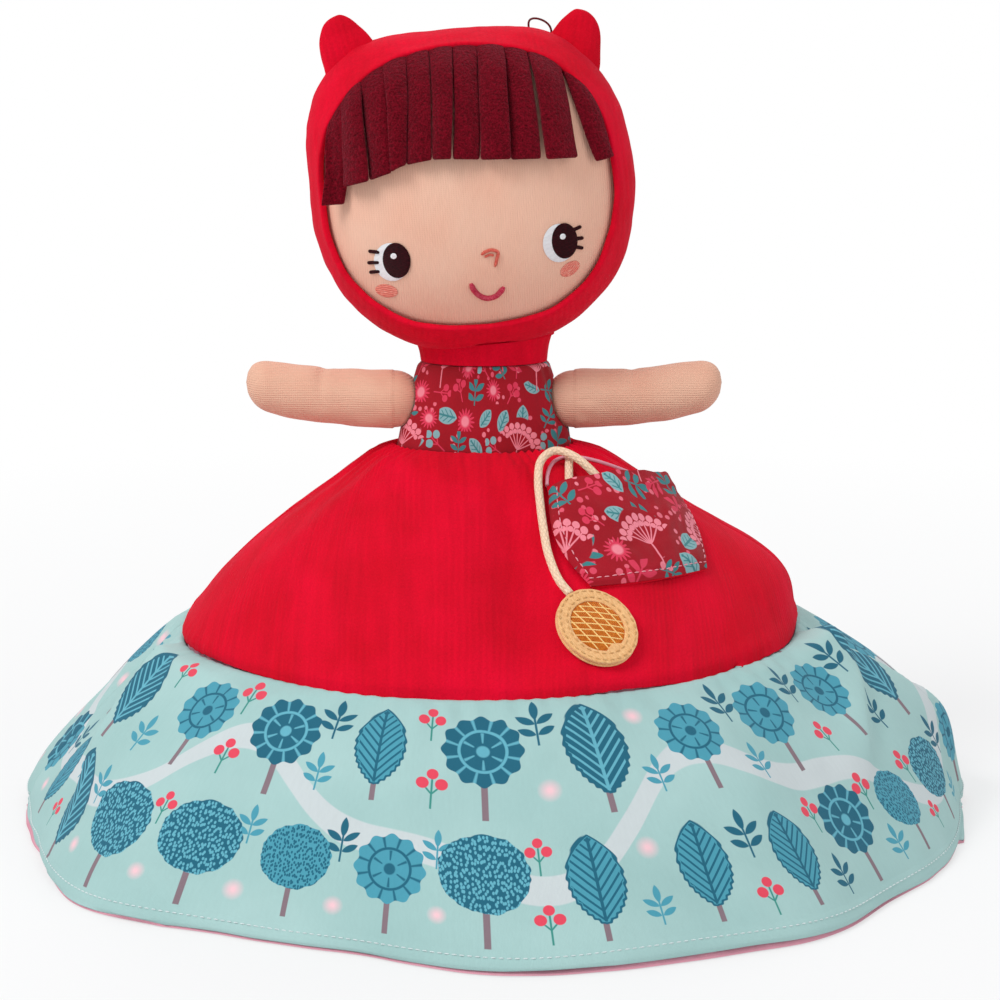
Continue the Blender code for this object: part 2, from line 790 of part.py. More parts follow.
def build_charm(felt, amber):
    frame = charm_frame()
    pivot = add_empty("charm_pivot", frame @ Vector((0, charm_half_length + cloth_gap, charm_wall)), (0, 0, 0))
    pivot.rotation_euler = frame.to_euler()
    local = Matrix.Translation((0, -charm_half_length - cloth_gap, -charm_wall))
    back = loft("charm_back", [charm_ring(1, 0), charm_ring(1, charm_wall)])
    low = charm_wall + cloth_gap
    front = loft("charm_front", [charm_ring(1, low), charm_ring(1, low + charm_wall)])
    hole = loft("charm_window", [charm_ring(charm_window_share, low - cloth_gap),
                                 charm_ring(charm_window_share, low + charm_wall + cut_overrun)])
    window_edge = charm_window_share - cloth_gap / charm_half_width
    waffle = loft("charm_lattice", [charm_ring(window_edge, low), charm_ring(window_edge, low + charm_wall / 2)])
    for mesh in (back, front, hole, waffle):
        mesh.transform(local)
    add_object("charm_back", back, felt, pivot)
    add_object("charm_lattice", waffle, amber, pivot)
    cut(add_object("charm_front", front, felt, pivot), add_cutter("charm_window", hole, pivot))
    return pivot, frame


def smooth_route(route, count):
    # Points at even steps along a smooth curve through the route's own points
    points = [Vector(point) for point in route]
    padded = [2 * points[0] - points[1]] + points + [2 * points[-1] - points[-2]]
    fine = []
    for a, b, c, d in zip(padded, padded[1:], padded[2:], padded[3:]):
        for i in range(cord_steps):
            t = i / cord_steps
            fine.append(0.5 * (2 * b + (c - a) * t + (2 * a - 5 * b + 4 * c - d) * t ** 2
                               + (3 * b - a - 3 * c + d) * t ** 3))
    fine.append(points[-1])
    lengths = [0.0]
    for a, b in zip(fine, fine[1:]):
        lengths.append(lengths[-1] + (b - a).length)
    even = []
    at = 0
    for i in range(count):
        want = lengths[-1] * i / (count - 1)
        while at < len(fine) - 2 and lengths[at + 1] < want:
            at += 1
        span = lengths[at + 1] - lengths[at]
        even.append(fine[at].lerp(fine[at + 1], (want - lengths[at]) / span))
    return even, lengths[-1]


def build_cord(cotton, charm_pivot, frame):
    # The route ends at the charm's rim, square to it
    rim = charm_pivot.location
    up = frame.to_3x3() @ Vector((0, 1, 0))
    route = cord_route + [tuple(rim + up * cord_straight_share * cord_diameter), tuple(rim)]
    points, length = smooth_route(route, cord_points)
    print("charm cord length", round(length, 4), "from", [round(c, 4) for c in points[0]],
          "to", [round(c, 4) for c in points[-1]])
    tube("charm_cord", points, cord_diameter, cotton, None, 2)


def report_places():
    bpy.context.view_layer.update()
    for item in bpy.data.objects:
        if item.type == "EMPTY":
            place = item.matrix_world.translation
            print(item.name, [round(c, 5) for c in place])


def main():
    clear_scene()
    velour = make_material("red velour", (0.62, 0.005, 0.03), 0.85)
    floral = make_material("dark red print", (0.30, 0.005, 0.03), 0.8)
    skin = make_material("skin jersey", (0.80, 0.46, 0.29), 0.85)
    fleece = make_material("burgundy fleece", (0.13, 0.008, 0.02), 0.95)
    aqua = make_material("aqua print", (0.42, 0.70, 0.67), 0.8)
    pink = make_material("dusty pink lining", (0.70, 0.30, 0.36), 0.8)
    felt = make_material("tan felt", (0.85, 0.58, 0.24), 0.9)
    amber = make_material("amber satin", (0.60, 0.24, 0.03), 0.6)
    cotton = make_material("cream cotton", (0.85, 0.64, 0.36), 0.85)
    thread = make_material("dark thread", (0.25, 0.03, 0.04), 0.8)
    brown = make_material("brown fleece", (0.16, 0.06, 0.03), 0.95)

    half_height = torso_height + neck_pivot_rise + head_rise + head_half_height
    hood_rise = cloth_gap + hood_wall
    lower_share = (waist_height + floor_flat - hood_rise) / half_height

    middle, neck_cutter = build_half(
        "upper", 1.0, 0, upper_arm_droop_deg, head_lean_deg, head_yaw_deg,
        {"torso": floral, "hood": velour, "skin": skin})
    build_hood("upper_hood", 1.0, middle, neck_cutter, velour)
    build_fringe("upper_fringe", 1.0, middle, fleece, lock_end_shares)
    hood_cutter = add_cutter("upper_hood_space",
                             head_form("upper_hood_space", 1.0, hood_rise + cloth_gap), middle)
    build_ear("upper_ear_left", 1, middle, velour, hood_cutter)
    build_ear("upper_ear_right", -1, middle, velour, hood_cutter)
    build_hanging_loop("upper_hanging_loop", middle, thread)

    middle, neck_cutter = build_half(
        "lower", lower_share, 180, lower_arm_droop_deg, 0, 0,
        {"torso": pink, "hood": pink, "skin": skin})
    bonnet = build_hood("lower_bonnet", lower_share, middle, neck_cutter, pink)
    build_fringe("lower_fringe", lower_share, middle, brown, lower_lock_end_shares)
    floor_box = bmesh.new()
    bmesh.ops.create_cube(floor_box, size=2 * head_half_width)
    floor_mesh = finish_mesh("floor_space", floor_box)
    floor_mesh.transform(Matrix.Translation((body_axis_x, 0, -head_half_width)))
    cut(bonnet, add_cutter("floor_space", floor_mesh, None))

    build_skirt(velour, aqua, pink)
    build_pocket(floral, pink)
    charm_pivot, frame = build_charm(felt, amber)
    build_cord(cotton, charm_pivot, frame)
    report_places()


main()
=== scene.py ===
# Topsy turvy doll: the looks of every piece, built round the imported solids.
# Metres, +Z up. The dolls look towards -Y. Every form is drawn where the solid that it stands for is.

import json
import math

import bpy
import numpy as np
from mathutils import Matrix, Vector, noise
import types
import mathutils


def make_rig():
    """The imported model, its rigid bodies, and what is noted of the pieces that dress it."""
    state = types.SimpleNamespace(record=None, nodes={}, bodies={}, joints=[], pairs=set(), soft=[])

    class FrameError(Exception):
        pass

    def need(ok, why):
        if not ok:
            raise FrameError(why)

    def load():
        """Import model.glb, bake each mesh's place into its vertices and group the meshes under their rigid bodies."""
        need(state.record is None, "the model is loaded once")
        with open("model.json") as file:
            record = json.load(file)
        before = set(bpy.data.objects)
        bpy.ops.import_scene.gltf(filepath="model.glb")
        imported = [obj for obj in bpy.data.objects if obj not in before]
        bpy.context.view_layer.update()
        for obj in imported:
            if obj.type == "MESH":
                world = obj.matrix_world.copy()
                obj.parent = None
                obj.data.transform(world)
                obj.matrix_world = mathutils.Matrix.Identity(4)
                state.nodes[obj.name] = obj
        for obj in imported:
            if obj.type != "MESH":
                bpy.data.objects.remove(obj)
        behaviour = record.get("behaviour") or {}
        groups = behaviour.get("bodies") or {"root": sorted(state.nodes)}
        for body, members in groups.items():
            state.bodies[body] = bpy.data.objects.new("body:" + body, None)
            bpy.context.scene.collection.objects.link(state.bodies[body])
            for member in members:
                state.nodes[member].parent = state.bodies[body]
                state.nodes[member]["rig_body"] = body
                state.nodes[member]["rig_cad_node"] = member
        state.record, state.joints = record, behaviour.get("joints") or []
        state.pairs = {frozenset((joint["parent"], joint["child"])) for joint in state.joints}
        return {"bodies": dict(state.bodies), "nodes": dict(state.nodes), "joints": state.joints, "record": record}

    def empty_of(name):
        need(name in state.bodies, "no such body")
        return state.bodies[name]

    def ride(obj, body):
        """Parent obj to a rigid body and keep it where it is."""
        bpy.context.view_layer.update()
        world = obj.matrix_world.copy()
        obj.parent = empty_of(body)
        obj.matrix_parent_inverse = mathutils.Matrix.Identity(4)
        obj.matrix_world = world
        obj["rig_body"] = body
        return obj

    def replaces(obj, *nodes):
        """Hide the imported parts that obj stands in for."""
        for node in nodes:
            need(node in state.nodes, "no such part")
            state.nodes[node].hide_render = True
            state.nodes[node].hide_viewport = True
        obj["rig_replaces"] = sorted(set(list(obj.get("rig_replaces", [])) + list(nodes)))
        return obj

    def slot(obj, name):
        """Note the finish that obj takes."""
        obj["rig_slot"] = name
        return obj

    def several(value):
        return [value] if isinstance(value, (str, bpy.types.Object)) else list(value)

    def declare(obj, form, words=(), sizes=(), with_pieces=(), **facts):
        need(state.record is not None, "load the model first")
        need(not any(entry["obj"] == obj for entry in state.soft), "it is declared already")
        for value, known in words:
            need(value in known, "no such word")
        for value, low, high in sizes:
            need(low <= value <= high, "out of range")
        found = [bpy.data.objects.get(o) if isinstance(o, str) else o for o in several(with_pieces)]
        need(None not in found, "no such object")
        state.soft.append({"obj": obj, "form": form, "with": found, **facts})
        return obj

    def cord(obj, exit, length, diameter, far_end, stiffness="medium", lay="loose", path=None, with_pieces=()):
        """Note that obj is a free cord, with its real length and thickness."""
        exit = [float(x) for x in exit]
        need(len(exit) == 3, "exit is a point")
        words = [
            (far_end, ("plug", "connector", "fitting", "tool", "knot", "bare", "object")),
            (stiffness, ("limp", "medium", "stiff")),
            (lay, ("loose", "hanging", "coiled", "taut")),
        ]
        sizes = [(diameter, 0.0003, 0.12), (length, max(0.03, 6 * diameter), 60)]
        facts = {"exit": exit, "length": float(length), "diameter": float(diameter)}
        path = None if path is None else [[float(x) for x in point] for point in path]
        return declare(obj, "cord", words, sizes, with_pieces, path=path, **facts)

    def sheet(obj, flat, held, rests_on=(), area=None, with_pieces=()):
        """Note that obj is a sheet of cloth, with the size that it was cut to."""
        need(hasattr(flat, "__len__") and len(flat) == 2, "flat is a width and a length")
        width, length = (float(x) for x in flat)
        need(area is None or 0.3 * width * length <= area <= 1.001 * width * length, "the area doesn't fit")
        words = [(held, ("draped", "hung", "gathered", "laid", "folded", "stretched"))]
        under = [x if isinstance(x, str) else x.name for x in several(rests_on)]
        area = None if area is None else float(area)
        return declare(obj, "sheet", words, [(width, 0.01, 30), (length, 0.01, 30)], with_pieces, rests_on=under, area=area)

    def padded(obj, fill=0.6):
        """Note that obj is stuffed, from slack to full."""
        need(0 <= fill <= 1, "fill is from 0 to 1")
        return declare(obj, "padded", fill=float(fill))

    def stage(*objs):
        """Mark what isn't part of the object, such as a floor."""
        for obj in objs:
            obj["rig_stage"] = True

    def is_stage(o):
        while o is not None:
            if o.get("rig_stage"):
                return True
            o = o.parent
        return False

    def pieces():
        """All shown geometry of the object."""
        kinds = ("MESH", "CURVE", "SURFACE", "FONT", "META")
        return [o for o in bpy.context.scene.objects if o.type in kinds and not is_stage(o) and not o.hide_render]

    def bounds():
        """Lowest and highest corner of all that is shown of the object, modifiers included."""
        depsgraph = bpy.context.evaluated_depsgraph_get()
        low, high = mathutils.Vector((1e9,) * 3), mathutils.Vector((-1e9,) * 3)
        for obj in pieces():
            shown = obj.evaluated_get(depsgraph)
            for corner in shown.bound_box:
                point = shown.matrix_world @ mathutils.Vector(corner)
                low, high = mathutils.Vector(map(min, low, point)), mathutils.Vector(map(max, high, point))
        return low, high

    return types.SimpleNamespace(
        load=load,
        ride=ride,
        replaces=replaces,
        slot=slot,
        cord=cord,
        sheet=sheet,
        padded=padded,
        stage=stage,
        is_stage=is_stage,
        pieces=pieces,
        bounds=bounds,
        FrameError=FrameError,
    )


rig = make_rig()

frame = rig.load()
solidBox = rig.bounds()
nodes = frame["nodes"]
print("frame loaded:", len(nodes), "solids")


# Camera

camera = {"place": (0.0005, -1.100, 0.345), "pitchDeg": 78.4, "lens": 109.0, "sensorWidth": 36,
          "nearest": 0.02, "farthest": 30}

bpy.ops.object.camera_add(location=camera["place"], rotation=(math.radians(camera["pitchDeg"]), 0, 0))
eye = bpy.context.object
eye.name = "photoCamera"
eye.data.lens = camera["lens"]
eye.data.sensor_width = camera["sensorWidth"]
eye.data.clip_start = camera["nearest"]
eye.data.clip_end = camera["farthest"]
bpy.context.scene.camera = eye


# Tools for making pieces

def deselect():
    if bpy.context.mode != "OBJECT":
        bpy.ops.object.mode_set(mode="OBJECT")
    bpy.ops.object.select_all(action="DESELECT")


def makeActive(*pieces):
    deselect()
    for piece in pieces:
        piece.select_set(True)
    bpy.context.view_layer.objects.active = pieces[0]


def inEditMode(piece, work):
    makeActive(piece)
    bpy.ops.object.mode_set(mode="EDIT")
    bpy.ops.mesh.select_all(action="SELECT")
    work()
    bpy.ops.object.mode_set(mode="OBJECT")


def applied(piece, name, kind, **settings):
    # Adds a modifier and applies it at once
    makeActive(piece)
    modifier = piece.modifiers.new(name, kind)
    for key, value in settings.items():
        setattr(modifier, key, value)
    bpy.ops.object.modifier_apply(modifier=modifier.name)


def storePattern(piece, points):
    # The pattern's own coordinates, which stay with the cloth when the piece is placed
    layer = piece.data.attributes.new("pattern", "FLOAT_VECTOR", "POINT")
    layer.data.foreach_set("vector", np.asarray(points, dtype=np.float32).ravel())


def readPoints(piece):
    points = np.empty(len(piece.data.vertices) * 3)
    piece.data.vertices.foreach_get("co", points)
    return points.reshape(-1, 3)


def writePoints(piece, points):
    piece.data.vertices.foreach_set("co", np.asarray(points).ravel())
    piece.data.update()


def roundForm(name, sides, rows, place):
    # A ball of sides and rows, reshaped: place(turn, t) is the point at a turn round the form
    # and a share t of the way from its first pole to its last
    deselect()
    bpy.ops.mesh.primitive_uv_sphere_add(segments=sides, ring_count=rows, radius=1)
    piece = bpy.context.object
    piece.name = name
    points = readPoints(piece)
    shaped = []
    for x, y, z in points:
        turn = math.atan2(y, x)
        t = 1 - math.acos(max(-1.0, min(1.0, z))) / math.pi
        shaped.append(place(turn, t))
    writePoints(piece, shaped)
    return piece


def flatCloth(name, columns, rows):
    # A flat grid of cloth to be laid, with the places of its points across and down it, from 0 to 1
    deselect()
    bpy.ops.mesh.primitive_grid_add(x_subdivisions=columns, y_subdivisions=rows, size=1)
    piece = bpy.context.object
    piece.name = name
    flat = readPoints(piece) + 0.5
    return piece, flat[:, 0], flat[:, 1]


def normalsOut(piece):
    inEditMode(piece, lambda: bpy.ops.mesh.normals_make_consistent(inside=False))


def turnedTo(piece, axis, way):
    # Turns the cloth over if its faces look the wrong way along an axis
    if sum(face.normal[axis] for face in piece.data.polygons) * way < 0:
        inEditMode(piece, lambda: bpy.ops.mesh.flip_normals())


def smooth(piece, angleDeg=60):
    makeActive(piece)
    bpy.ops.object.shade_smooth_by_angle(angle=math.radians(angleDeg))


def placed(piece, matrix):
    # Puts a piece in its place for good: its object stays at the origin
    piece.data.transform(matrix)
    piece.data.update()
    return piece


def finished(piece, matrix, angleDeg, pattern=None):
    # The last steps of a solid form: pattern, outside, smooth shading and place
    storePattern(piece, readPoints(piece) if pattern is None else pattern)
    normalsOut(piece)
    smooth(piece, angleDeg)
    return placed(piece, matrix)


def keptOffFloor(piece):
    # What would sink into the floor lies flat on it
    lowest = 0.0002
    points = readPoints(piece)
    points[:, 2] = np.maximum(points[:, 2], lowest)
    writePoints(piece, points)
    return piece


def joined(name, pieces):
    makeActive(*pieces)
    bpy.ops.object.join()
    piece = bpy.context.object
    piece.name = name
    return piece


def dressed(piece, material, body, slot, *replaced):
    # The last step of every piece: finish, body, slot and the solids that it stands for
    piece.data.materials.clear()
    piece.data.materials.append(material)
    piece.data.name = piece.name
    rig.ride(piece, body)
    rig.slot(piece, slot)
    if replaced:
        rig.replaces(piece, *replaced)
    return piece


def wobble(point, size, seed=0.0):
    # Smooth noise from -1 to 1 with bumps of about this size
    return noise.noise(Vector(point) / size + Vector((seed, seed * 1.7, seed * 0.3)))


def wobbles(first, second, third, size, seed):
    # The same noise at many places, given as three lists of which any may be one number
    return np.array([wobble(point, size, seed) for point in np.broadcast(first, second, third)])


def bell(distance, width):
    # 1 at no distance, falling off smoothly over a width
    return np.exp(-(distance / width) ** 2)


def mixed(a, b, t):
    return a + (b - a) * t


def eased(low, high, value):
    # From 0 at low to 1 at high, with soft ends
    t = np.clip((value - low) / (high - low), 0, 1)
    return t * t * (3 - 2 * t)


def lengthsAlong(points):
    # The way to each point along a line
    lengths = [0.0]
    for a, b in zip(points, points[1:]):
        lengths.append(lengths[-1] + (b - a).length)
    return lengths


def stitchLine(name, points, normals, stitch):
    # Short thread stitches along a line of points, each one a bent capsule laid on the cloth
    deselect()
    bpy.ops.mesh.primitive_uv_sphere_add(segments=6, ring_count=6, radius=1)
    model = bpy.context.object
    base = readPoints(model)
    faces = [tuple(face.vertices) for face in model.data.polygons]
    bpy.data.objects.remove(model, do_unlink=True)
    allPoints, allFaces, allPattern = [], [], []
    lengths = lengthsAlong(points)
    count = max(1, int(lengths[-1] / stitch["pitch"]))
    at = 0
    for i in range(count):
        want = (i + 0.5) * lengths[-1] / count
        while lengths[at + 1] < want:
            at += 1
        along = (points[at + 1] - points[at]).normalized()
        out = normals[at].normalized()
        side = out.cross(along)
        middle = points[at] + along * (want - lengths[at]) + out * stitch["lift"]
        half = stitch["length"] / 2
        start = len(allPoints)
        for x, y, z in base:
            bow = (1 - z * z) * stitch["bow"]
            point = middle + along * (z * half)
            point += side * (x * stitch["radius"]) + out * (y * stitch["radius"] + bow)
            allPoints.append(point)
            allPattern.append((x * stitch["radius"], y * stitch["radius"], want + z * half))
        allFaces += [tuple(start + k for k in face) for face in faces]
    mesh = bpy.data.meshes.new(name)
    mesh.from_pydata(allPoints, [], allFaces)
    piece = bpy.data.objects.new(name, mesh)
    bpy.context.scene.collection.objects.link(piece)
    storePattern(piece, allPattern)
    for face in mesh.polygons:
        face.use_smooth = True
    return piece


def threadTube(name, points, radius, sides):
    # A tube along points with flat ends, and its pattern measured round and along it
    rows = len(points)
    grid, pattern = [], []
    lengths = lengthsAlong(points)
    side = None
    for i, point in enumerate(points):
        along = (points[min(i + 1, rows - 1)] - points[max(i - 1, 0)]).normalized()
        if side is None:
            side = along.orthogonal().normalized()
        side = (side - along * side.dot(along)).normalized()
        other = along.cross(side)
        size = radius(lengths[i] / lengths[-1]) if callable(radius) else radius
        for j in range(sides):
            turn = math.tau * j / sides
            grid.append(point + (side * math.cos(turn) + other * math.sin(turn)) * size)
            pattern.append((size * math.cos(turn), size * math.sin(turn), lengths[i]))
    faces = []
    for i in range(rows - 1):
        for j in range(sides):
            k = (j + 1) % sides
            faces.append((i * sides + j, i * sides + k, (i + 1) * sides + k, (i + 1) * sides + j))
    faces.append(tuple(reversed(range(sides))))
    faces.append(tuple((rows - 1) * sides + j for j in range(sides)))
    mesh = bpy.data.meshes.new(name)
    mesh.from_pydata(grid, [], faces)
    piece = bpy.data.objects.new(name, mesh)
    bpy.context.scene.collection.objects.link(piece)
    storePattern(piece, pattern)
    normalsOut(piece)
    for face in mesh.polygons:
        face.use_smooth = len(face.vertices) == 4
    return piece


def curveThrough(route, steps):
    # A smooth curve through the route's points
    points = [Vector(point) for point in route]
    padded = [2 * points[0] - points[1]] + points + [2 * points[-1] - points[-2]]
    fine = []
    for a, b, c, d in zip(padded, padded[1:], padded[2:], padded[3:]):
        for i in range(steps):
            t = i / steps
            fine.append(0.5 * (2 * b + (c - a) * t + (2 * a - 5 * b + 4 * c - d) * t ** 2
                               + (3 * b - a - 3 * c + d) * t ** 3))
    fine.append(points[-1])
    return fine


def evenly(points, count):
    # Points at even steps along a fine line
    lengths = lengthsAlong(points)
    even, at = [], 0
    for i in range(count):
        want = lengths[-1] * i / (count - 1)
        while at < len(points) - 2 and lengths[at + 1] < want:
            at += 1
        even.append(points[at].lerp(points[at + 1], (want - lengths[at]) / (lengths[at + 1] - lengths[at])))
    return even


# Materials

class Wire:
    # One socket of a material's nodes. Sums on wires add Math nodes, so that a pattern reads as a formula

    def __init__(self, cloth, socket):
        self.cloth = cloth
        self.socket = socket

    def math(self, operation, *others):
        return self.cloth.node("ShaderNodeMath", {"operation": operation}, (self,) + others)

    def __rsub__(self, other):
        return self.cloth.node("ShaderNodeMath", {"operation": "SUBTRACT"}, (other, self))

    def inside(self, softness):
        # 1 where a signed distance is below nothing, 0 outside, with a soft edge this wide
        return self.cloth.node("ShaderNodeMath", {"operation": "MULTIPLY_ADD", "use_clamp": True},
                               (self, -1.0 / softness, 0.5))

    def span(self, low, high, newLow=0.0, newHigh=1.0):
        # Maps a range of values to another, held at its ends
        return self.cloth.node("ShaderNodeMapRange", {"clamp": True},
                               {"Value": self, "From Min": low, "From Max": high,
                                "To Min": newLow, "To Max": newHigh})


def mathMethod(operation):
    return lambda self, *others: self.math(operation, *others)


wireMethods = {
    "__add__": "ADD", "__radd__": "ADD", "__sub__": "SUBTRACT", "__mul__": "MULTIPLY", "__rmul__": "MULTIPLY",
    "__truediv__": "DIVIDE", "__pow__": "POWER", "__abs__": "ABSOLUTE", "__gt__": "GREATER_THAN",
    "__lt__": "LESS_THAN", "__and__": "MINIMUM", "__or__": "MAXIMUM", "floor": "FLOOR", "part": "FRACT",
    "sine": "SINE", "cosine": "COSINE", "root": "SQRT"}
for method, operation in wireMethods.items():
    setattr(Wire, method, mathMethod(operation))


class Cloth:
    # The nodes of one material

    def __init__(self, name, roughness, sheen=0.0, sheenRoughness=0.5, sheenTint=None, specular=0.3):
        self.material = bpy.data.materials.new(name)
        self.material.use_nodes = True
        self.tree = self.material.node_tree
        self.shader = self.tree.nodes["Principled BSDF"]
        self.shader.inputs["Roughness"].default_value = roughness
        self.shader.inputs["Specular IOR Level"].default_value = specular
        self.shader.inputs["Sheen Weight"].default_value = sheen
        self.shader.inputs["Sheen Roughness"].default_value = sheenRoughness
        if sheenTint:
            self.shader.inputs["Sheen Tint"].default_value = (*sheenTint, 1.0)

    def node(self, kind, settings, values, output=0):
        # Adds any node: its settings first, then the values or links of its sockets
        made = self.tree.nodes.new(kind)
        for key, value in settings.items():
            setattr(made, key, value)
        pairs = values.items() if isinstance(values, dict) else enumerate(values)
        for key, value in pairs:
            if isinstance(value, Wire):
                self.tree.links.new(value.socket, made.inputs[key])
            else:
                made.inputs[key].default_value = value
        return Wire(self, made.outputs[output])

    def pattern(self):
        # The piece's own pattern coordinates, as three wires
        place = self.node("ShaderNodeAttribute", {"attribute_name": "pattern"}, {}, "Vector")
        return self.parts(place) + (place,)

    def parts(self, vector):
        split = self.tree.nodes.new("ShaderNodeSeparateXYZ")
        self.tree.links.new(vector.socket, split.inputs[0])
        return tuple(Wire(self, split.outputs[i]) for i in range(3))

    def vector(self, x, y, z=0.0):
        return self.node("ShaderNodeCombineXYZ", {}, (x, y, z))

    def noise(self, place, size, detail=2.0, rough=0.5):
        return self.node("ShaderNodeTexNoise", {}, {"Vector": place, "Scale": 1.0 / size, "Detail": detail,
                                                    "Roughness": rough}, "Fac")

    def chance(self, x, y, seed=0.0):
        # A steady random number for each whole x and y
        return self.node("ShaderNodeTexWhiteNoise", {"noise_dimensions": "3D"},
                         {"Vector": self.vector(x, y, seed)}, "Value")

    def mix(self, share, first, second):
        # Between two colours, each a triple or a wire
        values = {0: share}
        for key, colour in ((6, first), (7, second)):
            values[key] = colour if isinstance(colour, Wire) else (*colour, 1.0)
        return self.node("ShaderNodeMix", {"data_type": "RGBA"}, values, 2)

    def finish(self, base, tone, height, depth):
        # The base colour made lighter or darker by its tone, and the surface raised by its height
        colour = self.node("ShaderNodeVectorMath", {"operation": "SCALE"}, {"Vector": base, "Scale": tone})
        bump = self.node("ShaderNodeBump", {}, {"Height": height, "Distance": depth})
        self.tree.links.new(colour.socket, self.shader.inputs["Base Color"])
        self.tree.links.new(bump.socket, self.shader.inputs["Normal"])
        return self.material


def linear(red, green, blue):
    # A colour from its 0 to 255 values as seen
    return tuple((value / 255) ** 2.2 for value in (red, green, blue))


def velour(name, settings):
    # Short pile over fine ribs that run down the cloth, with broad patches of painted sheen
    cloth = Cloth(name, settings["roughness"], sheen=settings["sheen"], sheenRoughness=0.35,
                  sheenTint=settings["sheenTint"], specular=0.15)
    x, y, z, place = cloth.pattern()
    drift = cloth.noise(place, 0.018, 2.0) - 0.5
    fade = cloth.noise(cloth.vector(x, y, z * 0.5), 0.014, 2.0).span(0.40, 0.62)
    ribs = ((x + drift * 0.0016) * (math.tau / settings["ribPitch"])).sine() * fade
    streak = cloth.noise(cloth.vector(x, y, z * 0.10), 0.0030, 3.0)
    pile = cloth.noise(place, settings["pile"], 3.0, 0.65)
    # Painted sheen: broad patches that lighten the tone and mix in the lit copy of the colour, as where the pile
    # catches the light
    pileSheen = cloth.noise(place, 0.030, 3.0)
    tone = 0.93 + pileSheen * 0.12 + ribs * settings["ribTone"] + (streak - 0.5) * 0.30 + (pile - 0.5) * 0.38
    base = cloth.mix(pileSheen.span(0.35, 0.70), settings["colour"], settings["lit"])
    height = ribs * settings["ribHeight"] + pile * 0.9 + streak * 0.12
    return cloth.finish(base, tone, height, settings["depth"])


def jersey(name, settings):
    # Fine knitted ribs, across is the way that they are counted
    cloth = Cloth(name, 0.85, sheen=0.12, sheenRoughness=0.5, specular=0.2)
    x, y, z, place = cloth.pattern()
    across, along = (x, z) if settings["across"] == "x" else (z, x)
    drift = cloth.noise(place, 0.012, 2.0) - 0.5
    ribs = ((across + drift * 0.0008) * (math.tau / settings["ribPitch"])).sine()
    loops = (along * (math.tau / (settings["ribPitch"] * 0.8)) + ribs * 1.2).sine()
    streak = cloth.noise(cloth.vector(across, along * 0.06, y), 0.0011, 2.0)
    blotch = cloth.noise(place, 0.022, 3.0)
    tone = 0.955 + blotch * 0.09 + ribs * 0.016 + (streak - 0.5) * settings["streak"]
    base = cloth.mix(blotch.span(0.3, 0.7), settings["colour"], settings["blush"])
    height = ribs * 0.5 + loops * 0.22 + streak * 0.5
    return cloth.finish(base, tone, height, settings["depth"])


def fleece(name, settings):
    # Short brushed fleece with a crumbly pile, with painted shade in its hollows and painted highlights on its tops
    cloth = Cloth(name, 0.95, sheen=0.18, sheenRoughness=0.45, sheenTint=settings["sheenTint"], specular=0.05)
    x, y, z, place = cloth.pattern()
    clump = cloth.node("ShaderNodeTexVoronoi", {"feature": "SMOOTH_F1"},
                       {"Vector": place, "Scale": 1.0 / settings["clump"], "Smoothness": 0.7}, "Distance")
    fuzz = cloth.noise(place, settings["clump"] * 0.45, 4.0, 0.7)
    broad = cloth.noise(place, 0.009, 2.0)
    # Painted shade and painted highlights: the tone falls in the hollows between clumps and rises on their tops, and
    # the lit copy of the colour is mixed in where the fuzz is high
    tone = 0.50 + clump * 0.70 + (fuzz - 0.5) * 1.1 + broad * 0.25
    base = cloth.mix(fuzz.span(0.35, 0.70), settings["colour"], settings["lit"])
    return cloth.finish(base, tone, clump * 0.8 + fuzz, settings["depth"])


def wovenHeight(x, y, pitch):
    # Threads over and under each other
    across = (x * (math.pi / pitch)).sine()
    along = (y * (math.pi / pitch)).sine()
    return abs(across) * 0.5 + abs(along) * 0.5


def plainCotton(name, settings):
    # Plain woven cotton
    cloth = Cloth(name, 0.82, sheen=0.1, specular=0.25)
    x, y, z, place = cloth.pattern()
    weave = wovenHeight(x, y, settings["threadPitch"])
    slub = cloth.noise(cloth.vector(x, y * 0.15, z), 0.0012, 3.0)
    broad = cloth.noise(place, 0.028, 3.0)
    tone = 0.93 + broad * 0.10 + (slub - 0.5) * 0.10 + (weave - 0.5) * 0.10
    base = cloth.mix(broad.span(0.3, 0.7), settings["colour"], settings["lit"])
    return cloth.finish(base, tone, weave + slub * 0.4, settings["depth"])


def felt(name, settings):
    # Pressed wool with short lying fibres
    cloth = Cloth(name, 0.92, sheen=0.3, sheenRoughness=0.6, specular=0.1)
    x, y, z, place = cloth.pattern()
    fibre = cloth.noise(cloth.vector(x, y * 0.35, z), 0.0007, 5.0, 0.7)
    crossed = cloth.noise(cloth.vector(x * 0.35, y, z), 0.0007, 5.0, 0.7)
    broad = cloth.noise(place, 0.006, 2.0)
    tone = 0.84 + broad * 0.14 + (fibre + crossed - 1.0) * 0.35
    base = cloth.mix(fibre.span(0.35, 0.7), settings["colour"], settings["lit"])
    return cloth.finish(base, tone, fibre + crossed, settings["depth"])


def satinStitch(name, settings):
    # Embroidery: threads lying side by side, with the sheen of rayon
    cloth = Cloth(name, 0.5, specular=settings["specular"])
    x, y, z, place = cloth.pattern()
    wave = cloth.noise(place, 0.004, 2.0) - 0.5
    threads = ((x * settings["lean"] + z + wave * 0.0004) * (math.tau / settings["threadPitch"])).sine()
    broken = cloth.noise(cloth.vector(x, y, z * 3.0), 0.0009, 2.0)
    contrast = settings["contrast"]
    tone = 1 - 0.12 * contrast + threads * (0.10 * contrast) + (broken - 0.5) * (0.28 * contrast)
    base = cloth.mix(broken.span(0.4, 0.8), settings["colour"], settings["lit"])
    return cloth.finish(base, tone, threads + broken * 0.4, settings["depth"])


